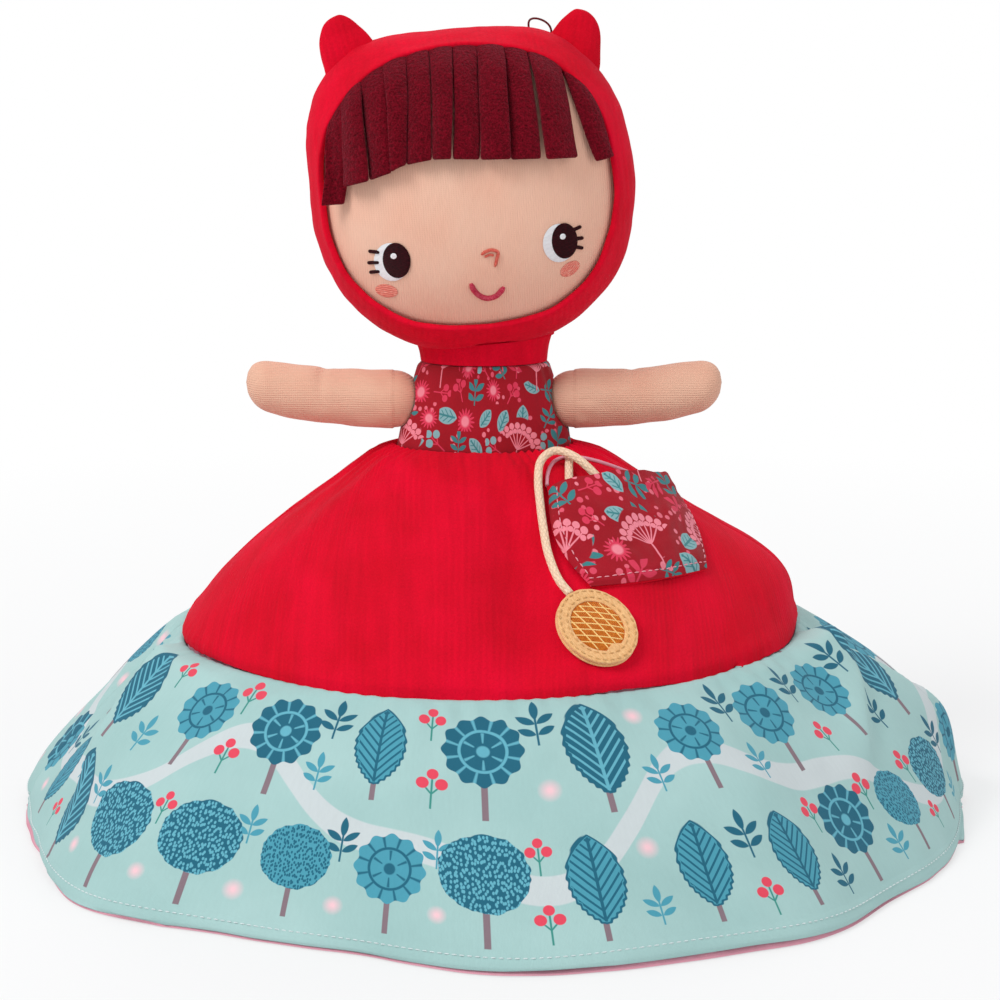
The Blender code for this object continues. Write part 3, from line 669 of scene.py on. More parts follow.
def twistedCotton(name, settings):
    # Thread or cord: strands that wind round it. Its pattern is the tube pulled straight
    cloth = Cloth(name, 0.85, sheen=0.15, specular=0.2)
    x, y, z, place = cloth.pattern()
    turn = y.math("ARCTAN2", x) * (settings["strands"] / math.tau)
    strand = ((turn + z / settings["lay"]).part() * math.pi).sine()
    counter = ((turn - z / settings["lay"]).part() * math.pi).sine()
    knit = strand & counter if settings["knitted"] else strand
    fuzz = cloth.noise(place, settings["fuzz"], 3.0, 0.7)
    tone = 0.78 + knit * 0.18 + fuzz * 0.14
    base = cloth.mix(fuzz.span(0.35, 0.7), settings["colour"], settings["lit"])
    return cloth.finish(base, tone, knit + fuzz * 0.5, settings["depth"])


# Prints. Places on the cloth are in millimetres there, and a shape is a signed distance

def pointedLeaf(x, y, halfLength, halfWidth):
    radius = (halfLength ** 2 + halfWidth ** 2) / (2 * halfWidth)
    return ((abs(x) + (radius - halfWidth)) ** 2 + y * y).root() - radius


def turned(x, y, angleDeg, moveX=0.0, moveY=0.0):
    # The same place, seen by a shape that is turned and moved
    c, s = math.cos(math.radians(angleDeg)), math.sin(math.radians(angleDeg))
    x, y = x - moveX, y - moveY
    return x * c + y * s, y * c - x * s


def disc(x, y, radius):
    return (x * x + y * y).root() - radius


def strip(x, y, halfWidth, low, high):
    # An upright strip, such as a stem
    return (abs(x) - halfWidth) | (low - y) | (y - high)


def leafSprig(x, y, size):
    # A stem with a leaf at its top and two pairs at its sides
    side = abs(x)
    top = pointedLeaf(x, y - 3.4 * size, 2.3 * size, 0.85 * size)
    shape = top & strip(x, y, 0.22 * size, -4.6 * size, 3.0 * size)
    for height, angleDeg, length in ((0.4, -58, 2.1), (-2.3, -64, 1.9)):
        leafX, leafY = turned(side, y, angleDeg, 1.9 * size, (height + 0.9) * size)
        shape = shape & pointedLeaf(leafX, leafY, length * size, 0.80 * size)
    return shape


def berries(x, y, size):
    # Round berries on a forked stem, with the stem's own shape apart
    side = abs(x)
    fruit = disc(side - 2.0 * size, y - 1.6 * size, 1.35 * size) & disc(x, y - 3.9 * size, 1.25 * size)
    forkX, forkY = turned(side, y, -42, 1.0 * size, 0.2 * size)
    stem = strip(x, y, 0.22 * size, -4.4 * size, 2.8 * size)
    return fruit, stem & strip(forkX, forkY, 0.2 * size, -1.6 * size, 1.6 * size)


def rosette(x, y, radius, petals):
    # A round flower head: its outline and the lines between its petals
    away = disc(x, y, 0.0)
    turn = y.math("ARCTAN2", x)
    outline = away - radius * 0.95 - (turn * petals).cosine() * (radius * 0.05)
    outer = (turn * petals).cosine().span(-1.0, -0.72, 1.0, 0.0) * away.span(radius * 0.56, radius * 0.60)
    inner = (turn * petals * 0.5).cosine().span(-1.0, -0.80, 1.0, 0.0) * away.span(radius * 0.22, radius * 0.26)
    inner = inner * away.span(radius * 0.50, radius * 0.54, 1.0, 0.0)
    ring = abs(away - radius * 0.57).span(radius * 0.025, radius * 0.05, 1.0, 0.0)
    heart = away.span(radius * 0.14, radius * 0.18, 1.0, 0.0)
    return outline, outer | inner | ring | heart


def umbel(x, y, radius, rays):
    # A fan of thin stalks with a berry at the end of each and smaller ones between them
    spread = 1.05
    away = disc(x, y, 0.0)
    turn = x.math("ARCTAN2", y)
    step = 2 * spread / rays
    spoke = abs((turn / step + 0.5).part() - 0.5) * step * away
    between = abs((turn / step).part() - 0.5) * step * away
    stalks = (spoke - 0.22) | (away - radius) | (abs(turn) - spread) * radius
    outer = disc(spoke, away - radius, 0.13 * radius)
    inner = disc(between, away - radius * 0.78, 0.10 * radius)
    stem = strip(x, y, 0.25, radius * -0.75, 0.0)
    return ((outer & inner) | (abs(turn) - 1.2) * radius) & stalks & stem


def wovenFinish(cloth, colour, x, y, slub, broad, shares, settings):
    # Printed cotton: the print's colour over woven threads, with slubs and broad unevenness
    weave = wovenHeight(x, y, settings["threadPitch"])
    tone = shares[0] + broad * shares[1] + (slub - 0.5) * shares[2] + (weave - 0.5) * shares[2]
    return cloth.finish(colour, tone, weave + slub * 0.4, settings["depth"])


def gardenPrint(name, settings):
    # Leaves, round flowers, sprigs, berries and a wandering ribbon, in rows that follow the hem.
    # The pattern is the share round the skirt, the way down the cloth and the radius there
    cloth = Cloth(name, 0.80, sheen=0.08, specular=0.25)
    share, down, radius, place = cloth.pattern()
    soft = 0.22
    seamRadius = 0.150
    leafTall, leafWide, rosetteRadius, puffRadius = 17.0, 9.8, 13.2, 12.0

    def cell(shift, seed, split):
        # The place in a cell of its row, in millimetres, and four random numbers for that cell
        small = (down - settings["firstRow"]) * (split / settings["rowHeight"])
        row = (small.floor() / split).floor()
        count = row * settings["countStep"] + settings["firstCount"]
        spot = share * count + row * 0.5 + shift
        index = spot.floor()
        picks = [cloth.chance(index, small.floor(), seed + i) for i in range(4)]
        size = picks[1] * 0.22 + 0.90
        width = radius * (math.tau * 1000) / count
        x = ((spot.part() - 0.5) * width + (picks[2] - 0.5) * 3.4) / size
        y = ((0.5 - small.part()) * (settings["rowHeight"] * 1000 / split) + (picks[3] - 0.5) * 3.0) / size
        return x, y, picks

    colour = cloth.mix(cloth.noise(place, 0.05, 2.0).span(0.3, 0.7), settings["ground"], settings["groundLit"])

    wander = (share * (math.tau * 5)).sine() * 0.019 + (share * (math.tau * 11) + 1.0).sine() * 0.007
    ribbonMiddle = abs(down - 0.052 - wander) * 1000
    ribbon = (ribbonMiddle - 3.9 - cloth.noise(place, 0.03, 1.0) * 2.4).inside(0.6)
    colour = plain = cloth.mix(ribbon * 0.85, colour, settings["ribbon"])

    x, y, picks = cell(0.5, 11.0, 2)
    kind = picks[0]
    glow = disc(x, y, 0.0).span(0.6, 4.0, 1.0, 0.0) * (kind > 0.86)
    colour = cloth.mix(glow * 0.9, colour, settings["glow"])
    sprig = leafSprig(x, y, 1.55).inside(soft) * (kind < 0.44)
    colour = cloth.mix(sprig, colour, cloth.mix(picks[1] > 0.5, settings["leaf"], settings["deep"]))
    fruit, stem = berries(x, y, 1.45)
    hasBerries = (kind > 0.44) * (kind < 0.86)
    colour = cloth.mix(stem.inside(soft) * hasBerries, colour, settings["stem"])
    colour = cloth.mix(fruit.inside(soft) * hasBerries, colour, settings["berry"])

    x, y, picks = cell(0.0, 3.0, 1)
    kind = picks[0]
    twig = strip(x, y, 1.05, -20.5, -7.0).inside(soft)
    colour = cloth.mix(twig, colour, settings["twig"])

    lean = x * 0.985 + y * 0.17 * (picks[3] - 0.5)
    leaf = pointedLeaf(lean, y - 2.4 + lean * 0.1, leafTall, leafWide)
    leaf = leaf + (y * 1.7 + abs(x) * 1.6).sine() * 0.30
    veins = ((y - abs(lean) * 1.15) / 3.6).part() - 0.5
    veins = abs(veins).span(0.13, 0.20, 1.0, 0.0) | (abs(lean) - 0.55).inside(soft)
    veins = veins * (leaf + 1.2).inside(soft)
    isLeaf = kind < 0.40
    leafTone = cloth.mix(picks[1] > 0.5, settings["leaf"], settings["deep"])
    veinTone = cloth.mix(picks[1] > 0.5, settings["deep"], settings["leafLit"])
    rim = (leaf + 0.9).inside(soft)
    leafColour = cloth.mix(veins, cloth.mix(rim, settings["deep"], leafTone), veinTone)
    colour = cloth.mix(leaf.inside(soft) * isLeaf, colour, leafColour)

    outline, lines = rosette(x, y - 4.0, rosetteRadius, 12.0)
    isRosette = (kind > 0.40) * (kind < 0.68)
    flower = cloth.mix(lines, leafTone, veinTone)
    colour = cloth.mix(outline.inside(soft) * isRosette, colour, flower)

    away = (x * x * 0.86 + (y - 4.2) * (y - 4.2)).root()
    strokes = cloth.node("ShaderNodeTexVoronoi", {"feature": "F1", "voronoi_dimensions": "2D"},
                         {"Vector": cloth.vector(x * 1.5, y, 0.0), "Scale": 0.62}, "Distance")
    edge = cloth.noise(cloth.vector(x, y, kind), 3.4, 1.0)
    puff = away - puffRadius - edge * 2.0
    isPuff = kind > 0.68
    puffColour = cloth.mix(strokes.span(0.30, 0.42), veinTone, leafTone)
    colour = cloth.mix(puff.inside(soft) * isPuff, colour, puffColour)
    colour = cloth.mix(down > settings["firstRow"] + 2 * settings["rowHeight"], colour, plain)

    threadX = share * (math.tau * seamRadius)
    slub = cloth.noise(cloth.vector(threadX, down * 0.2), 0.0011, 3.0)
    broad = cloth.noise(cloth.vector(threadX, down), 0.030, 3.0)
    return wovenFinish(cloth, colour, threadX, down, slub, broad, (0.945, 0.08, 0.07), settings)


def berryPrint(name, settings):
    # Berry fans, sprigs, daisies and dots scattered on a dark ground
    cloth = Cloth(name, 0.80, sheen=0.08, specular=0.25)
    x0, y0, z0, place = cloth.pattern()
    soft = 0.16
    colour = cloth.mix(cloth.noise(place, 0.02, 2.0).span(0.3, 0.7), settings["ground"], settings["groundLit"])

    def cell(size, shiftX, shiftY, seed, roam, swing):
        # The place in a cell of a staggered grid, moved and turned at random, and its random numbers
        spotY = y0 * (1000 / size) + shiftY
        row = spotY.floor()
        spotX = x0 * (1000 / size) + row * 0.5 + shiftX
        index = spotX.floor()
        picks = [cloth.chance(index, row, seed + i) for i in range(4)]
        x = (spotX.part() - 0.5) * size + (picks[1] - 0.5) * roam
        y = (spotY.part() - 0.5) * -size + (picks[2] - 0.5) * roam
        angle = (picks[3] - 0.5) * swing
        c, s = angle.cosine(), angle.sine()
        return x * c + y * s, y * c - x * s, picks

    fanX, fanY, fanPicks = cell(settings["fanCell"], *settings["fanShift"], 41.0, 3.0, 1.6)
    isFan = fanPicks[0] < 0.70
    free = 1 - disc(fanX, fanY, 8.6).inside(0.4) * isFan

    x, y, picks = cell(settings["cell"] * 0.82, 0.5, 0.5, 21.0, 2.4, 6.0)
    dots = disc(x, y, 1.0) & disc(x - 2.4, y - 1.2, 0.8) & disc(x + 1.6, y - 2.3, 0.7)
    dots = dots.inside(soft) * free * (picks[0] < 0.65)
    colour = cloth.mix(dots, colour, cloth.mix(picks[1], settings["pink"], settings["pale"]))

    x, y, picks = cell(settings["cell"], 0.0, 0.0, 5.0, 2.6, 4.0)
    kind = picks[0]
    size = picks[1] * 0.5 + 0.85
    x, y = x / size, y / size
    sprig = leafSprig(x, y, 1.05).inside(soft)
    sprigTone = cloth.mix(picks[2] > 0.40, settings["pink"], settings["teal"])
    colour = cloth.mix(sprig * (kind < 0.36) * free, colour, sprigTone)

    broadLeaf = pointedLeaf(x, y, 3.9, 2.3)
    vein = ((abs(x) - 0.28) & (abs(((y - abs(x)) / 1.7).part() - 0.5) * 1.7 - 0.2)) | (broadLeaf + 0.5)
    leafColour = cloth.mix(vein.inside(soft), settings["paleTeal"], settings["teal"])
    isBroad = (kind > 0.50) * (kind < 0.68)
    colour = cloth.mix(broadLeaf.inside(soft) * isBroad * free, colour, leafColour)

    away = disc(x, y, 0.0)
    turn = y.math("ARCTAN2", x)
    daisy = away - 2.9 - (turn * 16).cosine() * 0.8
    heart = away.span(1.2, 1.8, 1.0, 0.0)
    isDaisy = (kind > 0.68) * (kind < 0.84) * free
    colour = cloth.mix(daisy.inside(soft) * isDaisy, colour,
                       cloth.mix(heart, settings["pink"], settings["pale"]))

    fruit, stem = berries(x, y, 0.95)
    isFruit = (kind > 0.84) * free
    colour = cloth.mix(stem.inside(soft) * isFruit, colour, settings["pink"])
    fruitTone = cloth.mix(picks[1] > 0.5, settings["pink"], settings["paleTeal"])
    colour = cloth.mix(fruit.inside(soft) * isFruit, colour, fruitTone)

    fan = umbel(fanX, fanY + 3.6, 9.0, 7).inside(soft) * isFan
    colour = cloth.mix(fan, colour, settings["pale"])

    slub = cloth.noise(cloth.vector(x0, y0 * 0.2), 0.0010, 3.0)
    broad = cloth.noise(place, 0.012, 3.0)
    return wovenFinish(cloth, colour, x0, y0, slub, broad, (0.94, 0.09, 0.08), settings)


# Finishes

redVelour = velour("redVelour", {
    "colour": linear(202, 0, 36), "lit": linear(217, 2, 45), "roughness": 0.92, "sheen": 0.12,
    "sheenTint": (1.0, 0.12, 0.25), "ribPitch": 0.0023, "ribTone": 0.030, "ribHeight": 0.22,
    "pile": 0.0009, "depth": 0.00022})
faceJersey = jersey("faceJersey", {
    "colour": linear(234, 186, 162), "blush": linear(228, 174, 150), "across": "x", "ribPitch": 0.00085,
    "streak": 0.055, "depth": 0.00010})
armJersey = jersey("armJersey", {
    "colour": linear(228, 181, 155), "blush": linear(220, 166, 141), "across": "z", "ribPitch": 0.00085,
    "streak": 0.075, "depth": 0.00012})
burgundyFleece = fleece("burgundyFleece", {
    "colour": linear(84, 4, 18), "lit": linear(128, 20, 38), "sheenTint": (1.0, 0.3, 0.38),
    "clump": 0.00110, "depth": 0.00060})
brownFleece = fleece("brownFleece", {
    "colour": linear(96, 52, 30), "lit": linear(132, 80, 50), "sheenTint": (1.0, 0.8, 0.6),
    "clump": 0.00085, "depth": 0.00045})
pinkLining = plainCotton("pinkLining", {
    "colour": linear(219, 148, 165), "lit": linear(226, 160, 176), "threadPitch": 0.00042, "depth": 0.00008})
tanFelt = felt("tanFelt", {
    "colour": linear(232, 170, 108), "lit": linear(248, 198, 138), "depth": 0.00018})
satins = {}
for name, colour, lit, lean, threadPitch, contrast, specular, depth in (
        ("darkEmbroidery", (44, 8, 16), (82, 18, 32), 0.35, 0.00048, 1.0, 0.15, 0.00016),
        ("whiteEmbroidery", (250, 249, 252), (255, 255, 255), 0.3, 0.00048, 0.35, 0.3, 0.00010),
        ("noseEmbroidery", (236, 100, 84), (248, 136, 116), 0.4, 0.00045, 0.7, 0.3, 0.00012),
        ("cheekEmbroidery", (252, 128, 112), (255, 186, 164), -0.4, 0.00080, 0.7, 0.3, 0.00018),
        ("mouthEmbroidery", (214, 36, 74), (244, 112, 128), 0.9, 0.00055, 0.8, 0.3, 0.00016),
        ("amberSatin", (210, 104, 16), (230, 136, 38), 0.8, 0.00050, 0.7, 0.3, 0.00012)):
    satins[name] = satinStitch(name, {
        "colour": linear(*colour), "lit": linear(*lit), "lean": lean, "threadPitch": threadPitch,
        "contrast": contrast, "specular": specular, "depth": depth})
creamCord = twistedCotton("creamCord", {
    "colour": linear(240, 200, 164), "lit": linear(254, 228, 200), "strands": 6, "lay": 0.0034,
    "knitted": True, "fuzz": 0.0006, "depth": 0.00022})
threads = {}
for name, colour, lit, lay, depth in (
        ("darkThread", (84, 24, 30), (116, 40, 44), 0.0014, 0.00008),
        ("aquaThread", (196, 214, 214), (230, 238, 238), 0.0007, 0.00005),
        ("pinkThread", (228, 130, 146), (246, 176, 186), 0.0007, 0.00005),
        ("goldThread", (246, 196, 112), (252, 216, 150), 0.0007, 0.00005),
        ("sandThread", (196, 146, 88), (222, 176, 120), 0.0007, 0.00005)):
    threads[name] = twistedCotton(name, {
        "colour": linear(*colour), "lit": linear(*lit), "strands": 2, "lay": lay, "knitted": False,
        "fuzz": 0.0003, "depth": depth})
aquaPrint = gardenPrint("aquaPrint", {
    "ground": linear(156, 192, 189), "groundLit": linear(167, 201, 198), "ribbon": linear(204, 209, 211),
    "glow": linear(246, 196, 204), "leaf": linear(74, 152, 172), "leafLit": linear(98, 172, 190),
    "deep": linear(32, 98, 120), "stem": linear(60, 140, 130), "berry": linear(226, 72, 92),
    "twig": linear(132, 112, 120), "firstRow": 0.0015, "rowHeight": 0.0475, "firstCount": 22.0,
    "countStep": 6.0, "threadPitch": 0.00042, "depth": 0.00007})
redPrint = berryPrint("redPrint", {
    "ground": linear(146, 0, 26), "groundLit": linear(164, 3, 34), "pink": linear(214, 56, 84),
    "pale": linear(234, 132, 146), "teal": linear(60, 126, 130), "paleTeal": linear(130, 172, 176),
    "cell": 9.4, "fanCell": 27.0, "fanShift": (0.5, 0.75), "threadPitch": 0.00040, "depth": 0.00007})
print("finishes made")


# Measures that several pieces share

doll = {"axisX": -0.0054, "waistHeight": 0.139, "gap": 0.0003, "torsoHeight": 0.0325, "neckRadius": 0.016,
        "neckPivotRise": 0.0105, "headRise": 0.0525}
head = {"halfWidth": 0.0562, "halfDepth": 0.0395, "halfHeight": 0.0557, "crownPower": 3.5, "crownSlope": 0.20,
        "chinPower": 2.2, "sidePower": 2.2, "planPower": 2.3, "leanDeg": -4.5, "yawDeg": 5.0, "meshCuts": 37,
        "unevenness": 0.004, "unevenSize": 0.018}

# The hidden doll is made smaller until its bonnet's crown just rests on the floor
lowerTop = {"crownLift": 0.0005, "bonnetWall": 0.0028}
lowerHalfHeight = doll["torsoHeight"] + doll["neckPivotRise"] + doll["headRise"] + head["halfHeight"]
lowerShare = (doll["waistHeight"] + lowerTop["crownLift"] - lowerTop["bonnetWall"]) / lowerHalfHeight


def halfMatrix(flipDeg):
    return (Matrix.Translation((doll["axisX"], 0, doll["waistHeight"]))
            @ Matrix.Rotation(math.radians(flipDeg), 4, "Y"))


def headMatrix(flipDeg, share, leanDeg, yawDeg):
    # From the middle of the head to the frame
    pivot = Matrix.Translation((0, 0, (doll["torsoHeight"] + doll["neckPivotRise"]) * share))
    lean = Matrix.Rotation(math.radians(yawDeg), 4, "Z") @ Matrix.Rotation(math.radians(leanDeg), 4, "Y")
    return halfMatrix(flipDeg) @ pivot @ lean @ Matrix.Translation((0, 0, doll["headRise"] * share))


upperDoll = {"share": 1.0, "flipDeg": 0.0, "place": headMatrix(0.0, 1.0, head["leanDeg"], head["yawDeg"])}
lowerDoll = {"share": lowerShare, "flipDeg": 180.0, "place": headMatrix(180.0, lowerShare, 0.0, 0.0)}


# Heads

def headSpread(rise):
    # Shares of the half width and half depth at a height from -1 at the chin to 1 at the crown
    power = np.where(rise > 0, head["crownPower"], head["chinPower"])
    away = np.clip(1 - np.abs(rise) ** power, 0, 1)
    width = away ** (1 / power)
    depth = np.clip(1 - np.abs(rise) ** head["sidePower"], 0, 1) ** (1 / head["sidePower"])
    return width, depth


def crownSlope(x, rise):
    # The doll's left side falls in towards the crown
    return np.where(np.asarray(x) > 0, 1 - head["crownSlope"] * np.clip(rise, 0, 1) ** 2, 1.0)


def headReach(directions, share, grow):
    # How far the head's surface, grown on every side, lies from its middle in each direction
    size = np.array([head["halfWidth"], head["halfDepth"], head["halfHeight"]]) * share + grow
    low = np.zeros(len(directions))
    high = np.full(len(directions), 2 * size.max())
    halvings = 34
    for step in range(halvings):
        reach = (low + high) / 2
        point = directions * reach[:, None] / size
        width, depth = headSpread(np.clip(point[:, 2], -1, 1))
        width = width * crownSlope(point[:, 0], point[:, 2])
        power = head["planPower"]
        spread = (np.abs(point[:, 0]) / np.maximum(width, 1e-6)) ** power
        spread = spread + (np.abs(point[:, 1]) / np.maximum(depth, 1e-6)) ** power
        within = (spread < 1) & (np.abs(point[:, 2]) < 1)
        low = np.where(within, reach, low)
        high = np.where(within, high, reach)
    return low


def headPoints(directions, share, grow):
    # The head's surface in each direction from its middle
    directions = np.asarray(directions, dtype=float)
    directions = directions / np.linalg.norm(directions, axis=1)[:, None]
    return directions * headReach(directions, share, grow)[:, None]


def facePoint(x, z, share, lift):
    # A point on the front of the head at a place on the face, lifted off it
    size = [head[key] * share for key in ("halfWidth", "halfDepth", "halfHeight")]

    def depthAt(px, pz):
        width, depth = headSpread(np.array(max(-0.999, min(0.999, pz / size[2]))))
        width = width * crownSlope(px, pz / size[2])
        inner = max(0.0, 1 - abs(px / (size[0] * float(width))) ** head["planPower"])
        return -size[1] * float(depth) * inner ** (1 / head["planPower"])

    step = 0.0004
    slopeX = (depthAt(x + step, z) - depthAt(x - step, z)) / (2 * step)
    slopeZ = (depthAt(x, z + step) - depthAt(x, z - step)) / (2 * step)
    return Vector((x, depthAt(x, z), z)) + Vector((slopeX, -1, slopeZ)).normalized() * lift


def hollowedByNeck(points, share, room):
    # The underside gives way to the ball of the neck
    pivot = -doll["headRise"] * share
    ball = doll["neckRadius"] * share + room
    points = np.array(points)
    flat = points[:, 0] ** 2 + points[:, 1] ** 2
    top = pivot + np.sqrt(np.clip(ball ** 2 - flat, 0, None))
    sunk = (flat < ball ** 2) & (points[:, 2] < top) & (points[:, 2] < 0)
    points[sunk, 2] = top[sunk]
    return points


def makeHead(name, who, fill):
    # The stuffed head of jersey. Its face shows inside the hood's opening
    deselect()
    bpy.ops.mesh.primitive_cube_add(size=2)
    piece = bpy.context.object
    piece.name = name
    inEditMode(piece, lambda: (bpy.ops.mesh.subdivide(number_cuts=head["meshCuts"]),
                               bpy.ops.transform.tosphere(value=1)))
    points = headPoints(readPoints(piece), who["share"], 0)
    uneven = [1 + head["unevenness"] * wobble(point, head["unevenSize"], 2.0) for point in points]
    points = points * np.minimum(uneven, 1 + head["unevenness"] / 2)[:, None]
    writePoints(piece, hollowedByNeck(points, who["share"], 0.0004))
    storePattern(piece, readPoints(piece))
    smooth(piece, 70)
    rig.padded(placed(piece, who["place"]), fill=fill)
    return piece


# Hoods, sewn round the face opening
opening = {"centre": (-0.0029, 0.0037), "halfWidth": 0.0510, "rise": 0.0485, "fall": 0.0490, "power": 2.4,
           "wall": 0.0025, "clothShare": 0.92, "columns": 180, "rows": 66, "seamShare": 0.36,
           "seamWidth": 0.0011, "seamDepth": 0.0006, "puckerWidth": 0.006, "puckerDepth": 0.00035,
           "lip": 0.0007, "lipRows": 4.0, "neckRoom": 0.0016}


def openingPoint(turn, share):
    # The edge of the face opening, as seen from the front
    c, s = math.cos(turn), math.sin(turn)
    tall = opening["rise"] if s > 0 else opening["fall"]
    x = opening["centre"][0] + math.copysign(abs(c) ** (2 / opening["power"]), c) * opening["halfWidth"]
    z = opening["centre"][1] + math.copysign(abs(s) ** (2 / opening["power"]), s) * tall
    return x * share, z * share


def makeHood(name, who):
    # Velour sewn over the head: a grid that starts at the face opening and closes behind.
    # One of its rows lies on the seam between the front panel and the back panel
    share = who["share"]
    columns, rows = opening["columns"], opening["rows"]
    grow = doll["gap"] + opening["wall"] * 0.5
    turns = np.linspace(0, math.tau, columns, endpoint=False)
    edge = np.array([openingPoint(turn, share) for turn in turns])
    angle = np.arctan2(edge[:, 1], edge[:, 0])
    reach = np.hypot(edge[:, 0], edge[:, 1])

    def direction(theta, angle):
        return np.stack([np.sin(theta) * np.cos(angle), -np.cos(theta), np.sin(theta) * np.sin(angle)], axis=1)

    low, high = np.full(columns, 0.05), np.full(columns, math.pi / 2)
    halvings = 30
    for step in range(halvings):
        theta = (low + high) / 2
        found = headPoints(direction(theta, angle), share, grow)
        short = np.hypot(found[:, 0], found[:, 2]) < reach
        low, high = np.where(short, theta, low), np.where(short, high, theta)
    start = (low + high) / 2

    piece, across, down = flatCloth(name, columns, rows)
    seamRow = round(rows * opening["seamShare"])
    levels = np.rint(down * rows).astype(int)
    places = np.rint(across * columns).astype(int) % columns
    theta = np.where(levels <= seamRow,
                     start[places] + (math.pi / 2 - start[places]) * levels / seamRow,
                     math.pi / 2 + math.pi / 2 * (levels - seamRow) / (rows - seamRow))
    points = headPoints(direction(theta, angle[places]), share, grow)
    outward = points / np.linalg.norm(points, axis=1)[:, None]
    seam = opening["seamDepth"] * bell(points[:, 1], opening["seamWidth"])
    pucker = opening["puckerDepth"] * bell(points[:, 1], opening["puckerWidth"])
    pucker = pucker * wobbles(*points.T, 0.0035, 5.0)
    sag = 0.0007 * wobbles(*points.T, 0.020, 8.0) + 0.00025 * wobbles(*points.T, 0.007, 9.0)
    lip = opening["lip"] * bell(levels, opening["lipRows"])
    points += outward * (pucker + sag + lip - seam)[:, None]
    writePoints(piece, hollowedByNeck(points, share, opening["neckRoom"]))
    inEditMode(piece, lambda: bpy.ops.mesh.remove_doubles(threshold=0.00002))
    normalsOut(piece)
    storePattern(piece, readPoints(piece))
    applied(piece, "thickness", "SOLIDIFY", thickness=opening["wall"] * opening["clothShare"], offset=0.0,
            use_even_offset=True)
    applied(piece, "softness", "SUBSURF", levels=1, render_levels=1)
    smooth(piece, 80)
    return keptOffFloor(placed(piece, who["place"]))


# Fringe of fleece locks. Each lock: left and right of its top, then of its end, in millimetres on the face
fringe = {"thickness": 0.0020, "lift": 0.0004, "bulge": 0.0014, "columns": 8, "rows": 20, "reach": 0.0475,
          "sway": 0.0008, "tuck": 0.0009, "tuckReach": 0.04, "flare": 0.0012, "flareVaries": 0.0016,
          "layerStep": 0.0010, "layerTilt": 0.0020, "overHood": 0.0029,
          "locks": (
              ((-49.8, 27.0), (-39.4, 42.5), (-52.2, 2.0), (-45.6, 1.5)),
              ((-44.9, 34.6), (-36.8, 39.9), (-45.0, 7.9), (-35.9, 9.7)),
              ((-38.4, 37.4), (-28.2, 43.9), (-37.4, 9.8), (-28.9, 12.0)),
              ((-29.0, 43.9), (-20.3, 48.2), (-29.5, 12.3), (-23.9, 14.2)),
              ((-21.1, 48.2), (-12.4, 51.0), (-24.9, 14.4), (-15.4, 15.3)),
              ((-12.7, 51.3), (-3.9, 51.8), (-15.9, 15.4), (-8.9, 15.0)),
              ((-4.3, 51.7), (4.8, 51.4), (-9.0, 15.0), (0.9, 14.2)),
              ((4.0, 51.4), (13.8, 49.9), (0.2, 14.1), (11.1, 13.3)),
              ((13.0, 49.9), (21.5, 47.4), (10.7, 13.3), (21.3, 12.5)),
              ((21.3, 47.4), (32.8, 41.8), (22.4, 12.1), (34.3, 11.5)),
              ((32.5, 41.3), (43.5, 32.7), (40.6, 9.0), (46.2, 10.2)))}
lowerLocks = tuple(
    ((-47.0 + 8.6 * i, 30.0), (-38.0 + 8.6 * i, 30.0), (-46.7 + 8.5 * i, end), (-37.8 + 8.5 * i, end + drop))
    for i, (end, drop) in enumerate(((4, 3), (12, 2), (17, 1), (20, 1), (22, 0), (23, 0),
                                     (22, -1), (20, -1), (17, -2), (12, -3), (6, -4))))


def openingTop(x, share):
    # The height of the face opening's edge over a place across the face
    power = opening["power"]
    across = min(0.999, abs(x / share - opening["centre"][0]) / opening["halfWidth"])
    return (opening["centre"][1] + (1 - across ** power) ** (1 / power) * opening["rise"]) * share


def pastEdge(x, z, share):
    # Metres that a place on the face lies outside the face opening, below nothing inside it
    x, z = x / share - opening["centre"][0], z / share - opening["centre"][1]
    tall = opening["rise"] if z > 0 else opening["fall"]
    power = opening["power"]
    reach = ((abs(x) / opening["halfWidth"]) ** power + (abs(z) / tall) ** power) ** (1 / power)
    return (reach - 1) * 0.050 * share


